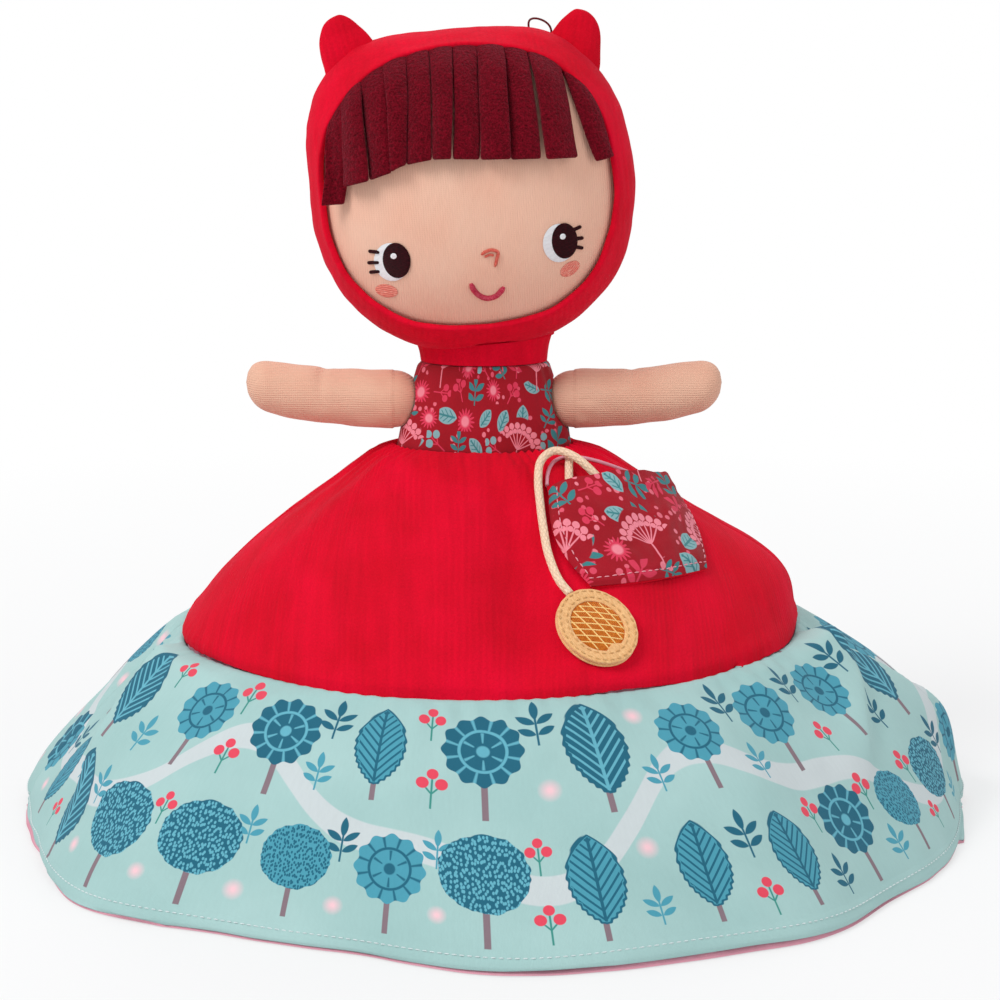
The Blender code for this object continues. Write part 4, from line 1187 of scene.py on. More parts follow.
def makeFringe(name, who, locks, material, slot, body, node):
    # Flat locks that hang in layers from the hood's edge, joined to one piece
    share = who["share"]
    strands = []
    for i, (topLeft, topRight, endLeft, endRight) in enumerate(locks):
        def place(s, t):
            # s runs across the lock and t down it
            above, below = mixed(topLeft[0], topRight[0], s), mixed(endLeft[0], endRight[0], s)
            x = mixed(above, below, t) * 0.001 * share
            x += fringe["sway"] * math.sin(math.pi * t) * wobble((i * 0.01, 0, t * 0.02), 0.012, 1.0 + i)
            top = openingTop(x, share) + 0.0008
            end = mixed(endLeft[1], endRight[1], s) * 0.001 * share
            z = mixed(top, end, t)
            reach = fringe["reach"] * share
            held = max(-reach, min(reach, x))
            tuck = fringe["tuck"] * math.exp(-t / fringe["tuckReach"])
            varies = abs(wobble((i * 0.03, 0, 0), 0.011, 3.0))
            flare = (fringe["flare"] + fringe["flareVaries"] * varies) * t ** 2.2
            bulge = fringe["bulge"] * (1 - (2 * s - 1) ** 2) * min(1.0, 0.3 + t * 3)
            tilt = fringe["layerTilt"] * (s - 0.5) * (1 if i % 3 else -1)
            layer = (fringe["layerStep"] * (i % 2) + tilt) * min(1.0, t * 4)
            overHood = fringe["overHood"] * eased(-0.0016, 0.0008, pastEdge(x, z, share))
            overHood = overHood * eased(0.2, 0.5, t)
            lift = fringe["lift"] + fringe["thickness"] - tuck + flare + bulge + layer + overHood
            return facePoint(held, z, share, lift) + Vector((x - held, -abs(x - held) * 0.15, 0))

        strand, across, up = flatCloth(f"{name}Lock{i}", fringe["columns"], fringe["rows"])
        writePoints(strand, [place(s, 1 - v) for s, v in zip(across, up)])
        normalsOut(strand)
        turnedTo(strand, 1, -1)
        storePattern(strand, readPoints(strand) + i * 0.013)
        applied(strand, "thickness", "SOLIDIFY", thickness=fringe["thickness"] * share, offset=-1.0)
        applied(strand, "softness", "SUBSURF", levels=2, render_levels=2)
        strands.append(strand)
    piece = joined(name, strands)
    smooth(piece, 50)
    placed(piece, who["place"])
    return dressed(piece, material, body, slot, node)


# Embroidered face. Places and halves are in millimetres on the face, lifts, heights and radii in metres
faceSlots = {"white": "white_thread", "dark": "dark_thread", "nose": "coral_thread", "cheek": "coral_thread",
             "mouth": "coral_thread"}
facePlan = {
    "eyes": ((-30.9, -19.0), (28.6, -17.2)),
    "eyeParts": (
        {"name": "EyeWhite", "thread": "white", "shift": (-1.9, -0.6), "half": (6.0, 7.0), "turnDeg": 3,
         "lift": 0.00002, "height": 0.00050, "sides": 40, "rows": 14},
        {"name": "EyeDark", "thread": "dark", "shift": (0, 0), "half": (4.75, 6.45), "turnDeg": 3,
         "lift": 0.00010, "height": 0.00085, "sides": 40, "rows": 14},
        {"name": "EyeShine", "thread": "white", "shift": (-0.8, 1.8), "half": (1.1, 1.1), "turnDeg": 0,
         "lift": 0.00062, "height": 0.00050, "sides": 20, "rows": 8}),
    "lashes": (((-36.6, -15.9), (-40.4, -15.4)), ((-37.0, -19.5), (-41.0, -19.7)),
               ((-37.0, -22.8), (-40.6, -23.3)), ((31.6, -13.9), (35.1, -12.9)),
               ((32.0, -17.0), (35.7, -17.2)), ((31.6, -19.7), (35.4, -20.9))),
    "lash": {"radius": 0.00066, "lift": 0.00016},
    "cheeks": (((-35.2, -30.4), -13.0), ((30.3, -27.9), 26.0)),
    "cheek": {"half": (3.9, 2.5), "lift": 0.00001, "height": 0.00032, "sides": 40, "rows": 14},
    "lines": (
        {"name": "Nose", "thread": "nose", "radius": 0.00058, "lift": 0.00014,
         "route": ((-1.4, -19.1), (0.3, -18.1), (2.4, -17.7), (4.5, -18.7), (4.1, -20.9), (3.2, -23.9))},
        {"name": "NoseInner", "thread": "nose", "radius": 0.00044, "lift": 0.00012,
         "route": ((-0.2, -20.0), (1.6, -19.4), (3.0, -19.8))},
        {"name": "Mouth", "thread": "mouth", "radius": 0.00105, "lift": 0.00020,
         "route": ((-5.7, -29.3), (-4.5, -32.2), (-2.3, -34.5), (0.2, -35.4), (2.9, -34.9), (4.7, -33.4),
                   (6.0, -31.7))})}


def facePad(name, who, centre, turnDeg, pad):
    # A raised pad of stitches, round or oval, that lies on the face
    share = who["share"]
    c, s = math.cos(math.radians(turnDeg)), math.sin(math.radians(turnDeg))
    flat = []

    def place(turn, t):
        size = math.sin(math.pi * t) ** 0.75
        p, q = pad["half"][0] * size * math.cos(turn), pad["half"][1] * size * math.sin(turn)
        x = (centre[0] + p * c - q * s) * 0.001 * share
        z = (centre[1] + p * s + q * c) * 0.001 * share
        rise = (0.5 - 0.5 * math.cos(math.pi * t)) * pad["height"]
        flat.append((p * 0.001, rise, q * 0.001))
        return facePoint(x, z, share, pad["lift"] + rise)

    return finished(roundForm(name, pad["sides"], pad["rows"], place), who["place"], 80, flat)


def faceLine(name, who, route, line):
    # A line of satin stitch on the face, thinner at its ends
    share = who["share"]
    points = [facePoint(x * 0.001 * share, z * 0.001 * share, share, line["lift"])
              for x, y, z in curveThrough([(x, 0, z) for x, z in route], 8)]

    def size(t):
        return line["radius"] * share * (0.55 + 0.45 * min(1.0, 12 * t, 12 * (1 - t)))

    return placed(threadTube(name, points, size, 10), who["place"])


def makeFace(prefix, who, body):
    made = []
    for side, (x, z) in zip(("Right", "Left"), facePlan["eyes"]):
        for part in facePlan["eyeParts"]:
            centre = (x + part["shift"][0], z + part["shift"][1])
            pad = facePad(prefix + part["name"] + side, who, centre, part["turnDeg"], part)
            made.append((pad, part["thread"]))
    for i, (inner, outer) in enumerate(facePlan["lashes"]):
        middle = ((inner[0] + outer[0]) / 2, (inner[1] + outer[1]) / 2)
        lash = faceLine(f"{prefix}Lash{i}", who, (inner, middle, outer), facePlan["lash"])
        made.append((lash, "dark"))
    for side, (centre, turnDeg) in zip(("Right", "Left"), facePlan["cheeks"]):
        made.append((facePad(prefix + "Cheek" + side, who, centre, turnDeg, facePlan["cheek"]), "cheek"))
    for line in facePlan["lines"]:
        made.append((faceLine(prefix + line["name"], who, line["route"], line), line["thread"]))
    for piece, thread in made:
        dressed(piece, satins[thread + "Embroidery"], body, faceSlots[thread])


# Ears
ear = {"halfWidth": 0.0116, "halfDepth": 0.0058, "length": 0.0190, "sunk": 0.0040, "placeShare": 0.725,
       "leftBaseShare": 0.765, "rightBaseShare": 0.855, "splayDeg": 14.0, "seamDip": 0.06, "seamWidth": 0.16,
       "outerTaper": 0.16, "innerTaper": 0.62, "tipPower": 4.5, "puff": 0.0011, "unevenness": 0.00045,
       "baseIn": 0.0022, "baseUp": 0.0006}


def makeEar(name, who, side):
    # A flat stuffed ear with seams at its edges, its outer edge fuller than its inner one
    def place(turn, t):
        cap = min(1.0, t / 0.06)
        rise = max(0.0, (t - 0.06) / 0.94)
        height = -ear["sunk"] + (ear["length"] + ear["sunk"]) * math.sin(rise * math.pi / 2) ** 1.05
        share = max(0.0, height / ear["length"])
        tip = (1 - share ** ear["tipPower"]) ** 0.5
        outer, inner = (1 - ear["outerTaper"] * share) * tip, (1 - ear["innerTaper"] * share) * tip
        spread = (outer + inner) / 2
        width, middle = ear["halfWidth"] * spread, side * ear["halfWidth"] * (outer - inner) / 2
        depth = ear["halfDepth"] * spread ** 0.6 * (0.72 + 0.28 * math.sin(math.pi * min(1, share + 0.35)))
        seam = math.exp(-(math.sin(turn) / ear["seamWidth"]) ** 2)
        x = middle + width * math.cos(turn) * (1 - ear["seamDip"] * seam) * cap
        y = depth * math.copysign(abs(math.sin(turn)) ** 0.85, math.sin(turn)) * cap
        if y < 0:
            y += ear["puff"] * bell(x + side * 0.003, 0.004) * bell(height - 0.004, 0.006)
        point = Vector((x, y, height))
        return point + point.normalized() * ear["unevenness"] * wobble(point, 0.006, 3.0 + side)

    piece = roundForm(name, 64, 44, place)
    baseShare = ear["leftBaseShare"] if side > 0 else ear["rightBaseShare"]
    base = Vector((side * (ear["placeShare"] * head["halfWidth"] - ear["baseIn"]), 0,
                   baseShare * head["halfHeight"] + ear["baseUp"]))
    turnOut = Matrix.Translation(base) @ Matrix.Rotation(side * math.radians(ear["splayDeg"]), 4, "Y")
    finished(piece, who["place"] @ turnOut, 70, readPoints(piece) + side * 0.05)
    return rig.padded(piece, fill=0.7)


# Hanging loop of thread
hangingLoop = {"radius": 0.00040, "halfWidth": 0.0048, "height": 0.0042, "placeShare": 0.52, "offHead": 0.0026,
               "steps": 24}


def makeHangingLoop(name, who):
    x, y = hangingLoop["placeShare"] * head["halfWidth"], hangingLoop["halfWidth"]
    feet = []
    for way in (-1, 1):
        aim = Vector((x + way * hangingLoop["halfWidth"], y, head["halfHeight"] * 0.97))
        feet.append(Vector(headPoints([aim], 1.0, hangingLoop["offHead"])[0]))
    points = []
    for i in range(hangingLoop["steps"] + 1):
        turn = math.pi * i / hangingLoop["steps"]
        arch = hangingLoop["height"] * math.sin(turn) ** 0.6
        points.append(feet[0].lerp(feet[1], (1 - math.cos(turn)) / 2) + Vector((0, 0, arch)))
    return placed(threadTube(name, points, hangingLoop["radius"], 10), who["place"])


# Bodies
torso = {"waistHalf": (0.0325, 0.0195), "shoulderHalf": (0.0240, 0.0160), "shoulderRound": 0.0014,
         "armReach": 0.0330, "armRise": 0.0183, "armBall": 0.0112, "floorShare": 0.10, "topShare": 0.84,
         "bulge": 0.03, "lift": 0.00015, "gatherDepth": 0.0007, "foldDepth": 0.0008, "seamDepth": 0.0007,
         "creases": ((-0.62, 0.10, 0.0010), (-0.45, 0.09, -0.0009), (-0.86, 0.07, 0.0006)),
         "patternRadius": 0.0275}


def makeTorso(name, who, seed):
    # A stuffed bodice: flat below and above, gathered at the waist and hollowed for both shoulders
    share = who["share"]

    def place(turn, t):
        floor, top = torso["floorShare"], torso["topShare"]
        if t < floor:
            rise, close = 0.0, math.sin(t / floor * math.pi / 2)
        elif t < top:
            rise, close = (t - floor) / (top - floor), 1.0
        else:
            rise, close = 1.0, math.cos((t - top) / (1 - top) * math.pi / 2)
        bulge = 1 + torso["bulge"] * math.sin(math.pi * rise)
        width, depth = (mixed(low, high, rise) * bulge
                        for low, high in zip(torso["waistHalf"], torso["shoulderHalf"]))
        height = torso["lift"] + (doll["torsoHeight"] - torso["lift"]) * rise
        corner = torso["shoulderRound"] * (1 - math.sqrt(1 - min(1.0, max(0.0, (rise - 0.94) / 0.06)) ** 2))
        width, depth = width - corner, depth - corner
        point = Vector((width * close * math.cos(turn), depth * close * math.sin(turn), height))
        outward = Vector((math.cos(turn) / width, math.sin(turn) / depth, 0)).normalized()
        gathers = math.exp(-height / 0.006) * wobble((turn * 0.028, 0, 0), 0.0030, seed)
        crease = sum(size * bell(turn - at, wide) for at, wide, size in torso["creases"]) * (1.0 - 0.4 * rise)
        folds = torso["foldDepth"] * wobble((turn * 0.020, 0, height * 0.5), 0.010, seed + 4)
        seam = torso["seamDepth"] * bell(math.sin(turn), 0.09)
        point += outward * (torso["gatherDepth"] * gathers - seam + crease + folds) * close
        for way in (-1, 1):
            joint = Vector((way * torso["armReach"], 0, torso["armRise"]))
            away = point - joint
            if away.length < torso["armBall"]:
                point = joint + away.normalized() * torso["armBall"]
        return point * share

    piece = roundForm(name, 112, 72, place)
    storeTurned(piece, lambda turn, point: (turn * torso["patternRadius"], -point.z, 0.0))
    normalsOut(piece)
    smooth(piece, 70)
    placed(piece, halfMatrix(who["flipDeg"]))
    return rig.padded(piece, fill=0.75)


def storeTurned(piece, pattern):
    # Pattern coordinates that go round a form, kept by corner so that they close without a smear
    mesh = piece.data
    points = [vertex.co.copy() for vertex in mesh.vertices]
    turns = [math.atan2(point.y, point.x) for point in points]
    layer = mesh.attributes.new("pattern", "FLOAT_VECTOR", "CORNER")
    values = np.zeros((len(mesh.loops), 3), dtype=np.float32)
    for face in mesh.polygons:
        around = [turns[k] for k in face.vertices]
        clear = [turn for turn, k in zip(around, face.vertices) if points[k].xy.length > 0.0003]
        middle = clear[0] if clear else 0.0
        for loop, k, turn in zip(face.loop_indices, face.vertices, around):
            if points[k].xy.length <= 0.0003:
                turn = middle
            turn = middle + (turn - middle + math.pi) % math.tau - math.pi
            values[loop] = pattern(turn, points[k])
    layer.data.foreach_set("vector", values.ravel())


# Necks. The shares are where the foot, the cloth and the rim's turn end on the way up
neck = {"footHalf": (0.0232, 0.0152), "rimHalf": (0.0240, 0.0164), "rimHeight": -0.0022, "flare": 0.0018,
        "footShare": 0.15, "rimShare": 0.55, "turnShare": 0.62, "gathers": 31, "gatherDepth": 0.0002}


def makeNeck(name, who, leanDeg):
    # The ball that the head rolls on and the full cloth round it, from the bodice up to the hood
    share = who["share"]
    foot = -doll["neckPivotRise"] + doll["gap"]

    def place(turn, t):
        c, s = math.cos(turn), math.sin(turn)
        rim = neck["rimHeight"] - neck["rimHalf"][0] * c * math.sin(math.radians(leanDeg))
        flare = neck["flare"] * abs(c) ** 3
        if t < neck["footShare"]:
            reach, height = [half * t / neck["footShare"] for half in neck["footHalf"]], foot
        elif t < neck["rimShare"]:
            up = (t - neck["footShare"]) / (neck["rimShare"] - neck["footShare"])
            swell = neck["gatherDepth"] * math.sin(turn * neck["gathers"] + 2 * math.sin(turn * 3)) * up
            reach = [mixed(low, high, up ** 0.8) + swell + flare * up ** 3
                     for low, high in zip(neck["footHalf"], neck["rimHalf"])]
            height = mixed(foot, rim + 0.9 * flare, up)
        else:
            angle = mixed(math.asin(rim / doll["neckRadius"]), math.pi / 2, eased(neck["turnShare"], 1.0, t))
            ball = doll["neckRadius"] * math.cos(angle)
            over = eased(neck["rimShare"], neck["turnShare"], t)
            reach = [mixed(half + flare, ball, over) for half in neck["rimHalf"]]
            height = doll["neckRadius"] * math.sin(angle)
        return Vector((reach[0] * c, reach[1] * s, height)) * share

    lift = Matrix.Translation((0, 0, (doll["torsoHeight"] + doll["neckPivotRise"]) * share))
    piece = finished(roundForm(name, 132, 60, place), halfMatrix(who["flipDeg"]) @ lift, 60)
    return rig.padded(piece, fill=0.9)


# Arms
arm = {"rootRadius": 0.0105, "length": 0.0545, "lift": 0.0062, "slack": 0.055, "slackAt": 0.42,
       "creaseDepth": 0.00075, "unevenness": 0.00050, "seamDepth": 0.00045, "bendDepth": 0.00055, "bendAt": 0.44}


def armRadius(t, fullness):
    # Fuller at the shoulder, a little slack in the middle and round at the hand
    slack = 1 - arm["slack"] * bell(t - arm["slackAt"], 0.17)
    hand = fullness + (1 - fullness) * (1 - eased(0.45, 0.95, t))
    return arm["rootRadius"] * 1.035 * slack * hand


def makeArm(name, who, sign, droopDeg, fullness, seed):
    # From the ball in the shoulder to the round hand
    share = who["share"]
    root, length = arm["rootRadius"], arm["length"]

    def place(turn, t):
        along = -root + (length + root) * t ** 1.02
        if along < 0:
            radius = math.sqrt(max(0.0, root ** 2 - along ** 2))
        else:
            station = along / length
            radius = armRadius(station, fullness)
            handStart = 1 - 0.92 * radius / length
            if station > handStart:
                radius *= math.sqrt(max(0.0, 1 - ((station - handStart) / (1 - handStart)) ** 2.1))
        station = max(0.0, along / length)
        lift = arm["lift"] * station ** 2.1
        y, z = radius * 0.98 * math.cos(turn), radius * math.sin(turn)
        if 0 < station < 0.97:
            near = math.exp(-station / 0.16) * min(1.0, station / 0.05)
            crease = arm["creaseDepth"] * near * wobble((turn * 0.009, 0, along * 0.35), 0.0034, seed)
            uneven = arm["unevenness"] * wobble((along, y, z), 0.010, seed + 2)
            seam = arm["seamDepth"] * bell(turn + math.pi / 2, 0.14)
            bend = arm["bendDepth"] * bell(station - arm["bendAt"] - 0.05 * math.sin(turn + seed), 0.035)
            swell = crease + uneven - seam - bend * max(0.0, math.sin(turn + 0.5))
            y += swell * math.cos(turn)
            z += swell * math.sin(turn)
        return Vector((along, y, z + lift)) * share

    piece = roundForm(name, 72, 96, place)
    shoulder = Matrix.Translation((sign * torso["armReach"] * share, 0, torso["armRise"] * share))
    aim = Matrix.Rotation(math.pi * (sign < 0), 4, "Z") @ Matrix.Rotation(math.radians(-droopDeg), 4, "Y")
    finished(piece, halfMatrix(who["flipDeg"]) @ shoulder @ aim, 80, readPoints(piece) + seed * 0.02)
    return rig.padded(piece, fill=0.75)


# Skirt: red tiers over printed flounces, with a pink lining under both
skirt = {
    "tierFoldAnglesDeg": (-176.0, -160.0, -131.0, -112.0, -72.0, -49.0, -22.0, -5.0,
                          14.0, 38.0, 58.0, 84.0, 104.0, 127.0, 150.0, 168.0),
    "tierFoldShares": (-0.75, 1.0, -0.35, 0.30, -0.25, 0.35, 0.95, -0.80,
                       0.70, -0.55, 0.80, -0.60, 0.75, -0.60, 0.85, 0.15),
    "hemFoldAnglesDeg": (-176.0, -159.0, -141.0, -123.0, -105.0, -87.0, -70.0, -53.0, -36.0, -20.0, -4.0,
                         14.0, 38.0, 58.0, 84.0, 104.0, 127.0, 150.0, 168.0),
    "hemFoldShares": (-0.62, -0.67, 0.65, -1.01, -1.19, 0.75, -0.18, 0.62, -0.42, -0.04, -0.45,
                      0.70, -0.55, 0.80, -0.60, 0.75, -0.60, 0.85, 0.15),
    "foldDepth": 0.0075, "foldWidthDeg": 13.0, "tierFoldShare": 0.30, "ringRadius": 0.1120, "ringHeight": 0.0740,
    "hemRadius": 0.1780, "tierPower": 1.22, "flouncePower": 1.15, "wall": 0.0024, "liningGap": 0.0010,
    "liningWall": 0.0012, "lap": 0.001, "seamWidth": 0.0014, "seamDepth": 0.0007,
    "leftBulge": 0.0125, "leftFrontDeg": 20.0, "leftBackDeg": 40.0, "leftFullest": 0.66, "leftSpread": 0.18,
    "leftSeamShare": 0.42, "rightBulge": 0.0050, "rightDeg": 26.0, "rightHollow": 0.0035,
    "rightHollowDeg": 60.0, "rightHollowAt": 0.30, "rightHollowSpread": 0.22}
tier = {"columns": 288, "rows": 104, "thickness": 0.0017, "flatDeg": -112.0, "flatSpreadDeg": 50.0,
        "flatShare": 0.92, "seamDip": 0.0010, "edgeRise": 0.0005, "waistReach": 0.0085, "waistClosing": 0.0044,
        "waistRise": 0.0006, "lift": 0.0002, "valleyDepth": 0.0034, "valleyDeg": -80.0, "ridgeHeight": 0.0022,
        "ridgeDeg": -93.0,
        "gathers": {"depth": 0.0010, "count": 58, "size": 0.9, "seed": 1.0, "reach": 0.013},
        "longFolds": {"depth": 0.0017, "count": 19, "size": 1.1, "seed": 4.0, "reach": 0.036},
        "soft": {"depth": 0.0022, "radius": 0.09, "stretch": 0.35, "size": 0.034, "seed": 7.0},
        "fine": {"depth": 0.0003, "radius": 0.09, "stretch": 0.8, "size": 0.010, "seed": 9.0}}
flounce = {"columns": 312, "rows": 112, "thickness": 0.0010, "seamPucker": 0.00022, "hemWidth": 0.0060,
           "hemRise": 0.00035, "hemHeight": 0.0013, "hemWave": 0.0006, "frontRise": 0.0012, "stitchUp": 0.0046,
           "stitchPull": 0.00022, "seamTuck": 0.0009,
           "gathers": {"depth": 0.0006, "count": 71, "size": 0.8, "seed": 21.0, "reach": 0.012},
           "longFolds": {"depth": 0.0013, "count": 17, "size": 0.9, "seed": 24.0, "reach": 0.060},
           "soft": {"depth": 0.0026, "radius": 0.15, "stretch": 0.40, "size": 0.040, "seed": 27.0},
           "fine": {"depth": 0.0006, "radius": 0.15, "stretch": 0.8, "size": 0.014, "seed": 29.0},
           "creases": (
               (-161.5, -153.0, 0.0068, 1, 14.0, 1.7, 0.80), (-10.5, 14.0, 0.0064, -1, 12.0, 1.8, 0.90),
               (-4.0, -50.0, 0.0030, -1, 7.0, 2.2, 0.70), (-128.0, -137.0, 0.0018, -1, 12.0, 5.0, 1.1),
               (62.0, 72.0, 0.0040, 1, 12.0, 3.5, 0.90), (131.0, 124.0, 0.0034, -1, 12.0, 4.0, 0.95))}
hemStitch = {"pitch": 0.0026, "length": 0.0019, "radius": 0.00026, "lift": 0.00012, "bow": 0.00012}
lining = {"columns": 240, "rows": 120, "thickness": 0.0008, "tierRoom": 0.0023, "flounceRoom": 0.0017,
          "hemCurl": 0.0024, "patternRadius": 0.12, "foldDepth": 0.0016,
          "soft": {"depth": 0.0012, "radius": 0.12, "stretch": 0.5, "size": 0.022, "seed": 41.0},
          "fine": {"depth": 0.0005, "radius": 0.12, "stretch": 1.0, "size": 0.008, "seed": 43.0}}
lengthSteps = 400
waistRoom = 2 * doll["gap"] + skirt["liningWall"] + skirt["liningGap"] + skirt["wall"]
topHalfWidth, topHalfDepth = torso["waistHalf"][0] + waistRoom, torso["waistHalf"][1] + waistRoom
topHeight = doll["waistHeight"] + skirt["lap"]


def degreesFrom(angle, placeDeg):
    return (np.degrees(angle) - placeDeg + 180) % 360 - 180


def foldsAt(angle, band):
    # How far the folds push the cloth out at each angle, as a share of their depth
    away = degreesFrom(angle[..., None], np.array(skirt[band + "FoldAnglesDeg"]))
    return (np.array(skirt[band + "FoldShares"]) * bell(away, skirt["foldWidthDeg"])).sum(-1)


def leftFullness(down):
    # The left side is full on the upper tier, pulled in at the seam and full again below it
    upper = np.clip(down, 0, 1)
    tierPart = bell(upper - skirt["leftFullest"], skirt["leftSpread"]) + skirt["leftSeamShare"] * upper ** 6
    past = np.clip(down - 1, 0, 1)
    return np.where(down <= 1, tierPart, tierPart * (1 - past) ** 2 + np.clip(np.sin(np.pi * past), 0, 1) ** 1.8)


def sideBulge(angle, down):
    # The cloth stands out at both sides, and hollows in below the waist at the doll's right
    leftAway, rightAway = degreesFrom(angle, 0), degreesFrom(angle, 180)
    leftDeg = np.where(leftAway < 0, skirt["leftFrontDeg"], skirt["leftBackDeg"])
    left = skirt["leftBulge"] * bell(leftAway, leftDeg) * leftFullness(down)
    hollow = skirt["rightHollow"] * bell(rightAway, skirt["rightHollowDeg"])
    hollow = hollow * bell(down - skirt["rightHollowAt"], skirt["rightHollowSpread"])
    right = skirt["rightBulge"] * bell(rightAway, skirt["rightDeg"])
    right = right * np.sin(np.pi * np.clip(down - 1, 0, 1) ** 2.6)
    return left + np.where(down <= 1, -hollow, right)


def hemOffset():
    # How far the middle of the folded hem lies off the skirt's own
    angles = np.arange(48) * math.pi / 24
    radius = skirt["hemRadius"] + skirt["foldDepth"] * foldsAt(angles, "hem")
    x, y = radius * np.cos(angles), radius * np.sin(angles)
    return (x.max() + x.min()) / 2, (y.max() + y.min()) / 2


hemMiddle = hemOffset()


def skirtPoints(angle, down):
    # down runs from 0 at the waist over 1 at the seam between the tiers to 2 at the hem
    angle, down = np.broadcast_arrays(np.asarray(angle, float), np.asarray(down, float))
    upper = down <= 1
    turn = np.pi / 2 * np.where(upper, down, down - 1)
    power = np.where(upper, skirt["tierPower"], skirt["flouncePower"])
    out = np.clip(np.sin(turn), 0, 1) ** (2 / power)
    fall = np.clip(np.cos(turn), 0, 1) ** (2 / power)
    height = np.where(upper, skirt["ringHeight"] + (topHeight - skirt["ringHeight"]) * fall,
                      skirt["ringHeight"] * fall)
    ring, hem = skirt["ringRadius"], skirt["hemRadius"]
    halfWidth = np.where(upper, topHalfWidth + (ring - topHalfWidth) * out, ring + (hem - ring) * out)
    halfDepth = np.where(upper, topHalfDepth + (ring - topHalfDepth) * out, ring + (hem - ring) * out)
    fold = skirt["tierFoldShare"] * np.where(upper, down ** 2, 1 - out) * foldsAt(angle, "tier")
    fold = fold + np.where(upper, 0, out) * foldsAt(angle, "hem")
    drift = np.where(upper, 0, 1 - height / skirt["ringHeight"])
    push = skirt["foldDepth"] * fold + sideBulge(angle, down)
    x = doll["axisX"] * (1 - drift) - hemMiddle[0] * drift + (halfWidth + push) * np.cos(angle)
    y = -hemMiddle[1] * drift + (halfDepth + push) * np.sin(angle)
    return np.stack([x, y, height], axis=-1)


def skirtOutward(angle, down):
    # The way off the skirt, from its slopes round it and down it
    step = 0.0003
    down = np.clip(down, 0.004, 1.996)
    here = skirtPoints(angle, down)
    outward = np.cross(skirtPoints(angle, down + step) - here, skirtPoints(angle + step, down) - here)
    outward /= np.linalg.norm(outward, axis=-1, keepdims=True)
    return np.where(outward[..., 2:] > 0, outward, -outward)


def waves(angle, down, count, size, seed):
    # Soft waves round the skirt whose pitch and height wander
    x, y = np.cos(angle) * 1.3, np.sin(angle) * 1.3
    wander, strength = wobbles(x, y, down * 0.25, size, seed), wobbles(x, y, 0.5, size * 0.6, seed + 5)
    return np.sin(angle * count + wander * 4.5) * (0.75 + 0.75 * strength)


def gathered(angle, metres, plan):
    # Gathers that fade out down the cloth
    depth = plan["depth"] * np.exp(-metres / plan["reach"])
    return depth * waves(angle, metres, plan["count"], plan["size"], plan["seed"])


def uneven(angle, metres, plan):
    # Smooth noise that closes round the skirt
    x, y = np.cos(angle) * plan["radius"], np.sin(angle) * plan["radius"]
    return plan["depth"] * wobbles(x, y, metres * plan["stretch"], plan["size"], plan["seed"])


def downLength(start, end):
    # Metres down the cloth at even shares of the way down
    line = skirtPoints(-math.pi / 2, np.linspace(start, end, lengthSteps + 1))
    return np.concatenate([[0], np.cumsum(np.linalg.norm(np.diff(line, axis=0), axis=1))])


def halfGrid(name, plan, start, end, firstDeg):
    # The grid of one half of a tier, with each point's angle, share down and metres down the cloth
    piece, across, down = flatCloth(name, plan["columns"], plan["rows"])
    lengths = downLength(start, end)
    metres = down * lengths[-1]
    even = np.interp(metres, lengths, np.linspace(start, end, lengthSteps + 1))
    return piece, np.radians(firstDeg) + np.pi * across, even, metres, lengths[-1]


def sideSeam(angle):
    # How deep the seams at the doll's sides draw the cloth in, over a width at the hem's radius
    return skirt["seamDepth"] * bell(np.abs(np.sin(angle)) * 0.13, skirt["seamWidth"])


def laidCloth(piece, points, pattern, thickness):
    # Cloth laid with its outside up: points, pattern, wall and smooth shading
    writePoints(piece, points)
    turnedTo(piece, 2, 1)
    storePattern(piece, pattern)
    applied(piece, "thickness", "SOLIDIFY", thickness=thickness, offset=-1.0)
    smooth(piece, 50)
    return piece


def finishHalf(piece, points, firstDeg, pattern, thickness):
    # Pulls the half clear of the other one
    points[:, 1] += 0.00012 if firstDeg == 0 else -0.00012
    return keptOffFloor(laidCloth(piece, points, pattern, thickness))


def seamPucker(angle, away):
    # Small puckers along the seam between the tiers, the same in both of them
    reach = 0.005
    ripple = np.sin(angle * 118 + 3 * np.sin(angle * 5)) * (0.6 + 0.4 * np.sin(angle * 9 + 1))
    return flounce["seamPucker"] * ripple * np.exp(-(np.clip(away, 0, 1) / reach) ** 1.3)


def tierPoints(angle, down, metres, length):
    # The outside of the red velour, smooth in front and gathered at the sides and behind
    full = 1 - tier["flatShare"] * bell(degreesFrom(angle, tier["flatDeg"]), tier["flatSpreadDeg"])
    longFolds = gathered(angle, metres, tier["longFolds"]) * np.clip(metres / 0.008, 0, 1)
    lift = (gathered(angle, metres, tier["gathers"]) + longFolds) * full + tier["lift"]
    lift += uneven(angle, metres, tier["soft"]) * np.clip(metres / 0.03, 0, 1) + uneven(angle, metres, tier["fine"])
    edge = length - metres
    lift += seamPucker(angle, edge) - sideSeam(angle)
    lift += tier["edgeRise"] * bell(edge - 0.004, 0.003) - tier["seamDip"] * bell(edge, 0.0011)
    degrees = np.degrees(angle)
    valley = bell(degrees - tier["valleyDeg"], 5.5) * eased(0.15, 0.4, down) * (1 - eased(0.7, 0.95, down))
    ridge = bell(degrees - tier["ridgeDeg"] + 6.0 * down, 8.0) * eased(0.1, 0.5, down)
    ridge = ridge * (1 - eased(0.75, 1.0, down))
    lift += tier["ridgeHeight"] * ridge - tier["valleyDepth"] * valley
    points = skirtPoints(angle, down) + skirtOutward(angle, down) * lift[:, None]
    closing = np.clip(1 - metres / tier["waistReach"], 0, 1) ** 1.5
    level = np.stack([np.cos(angle), np.sin(angle), np.zeros_like(angle)], axis=1)
    points = points - level * (tier["waistClosing"] * closing)[:, None]
    points[:, 2] += tier["waistRise"] * closing
    return points


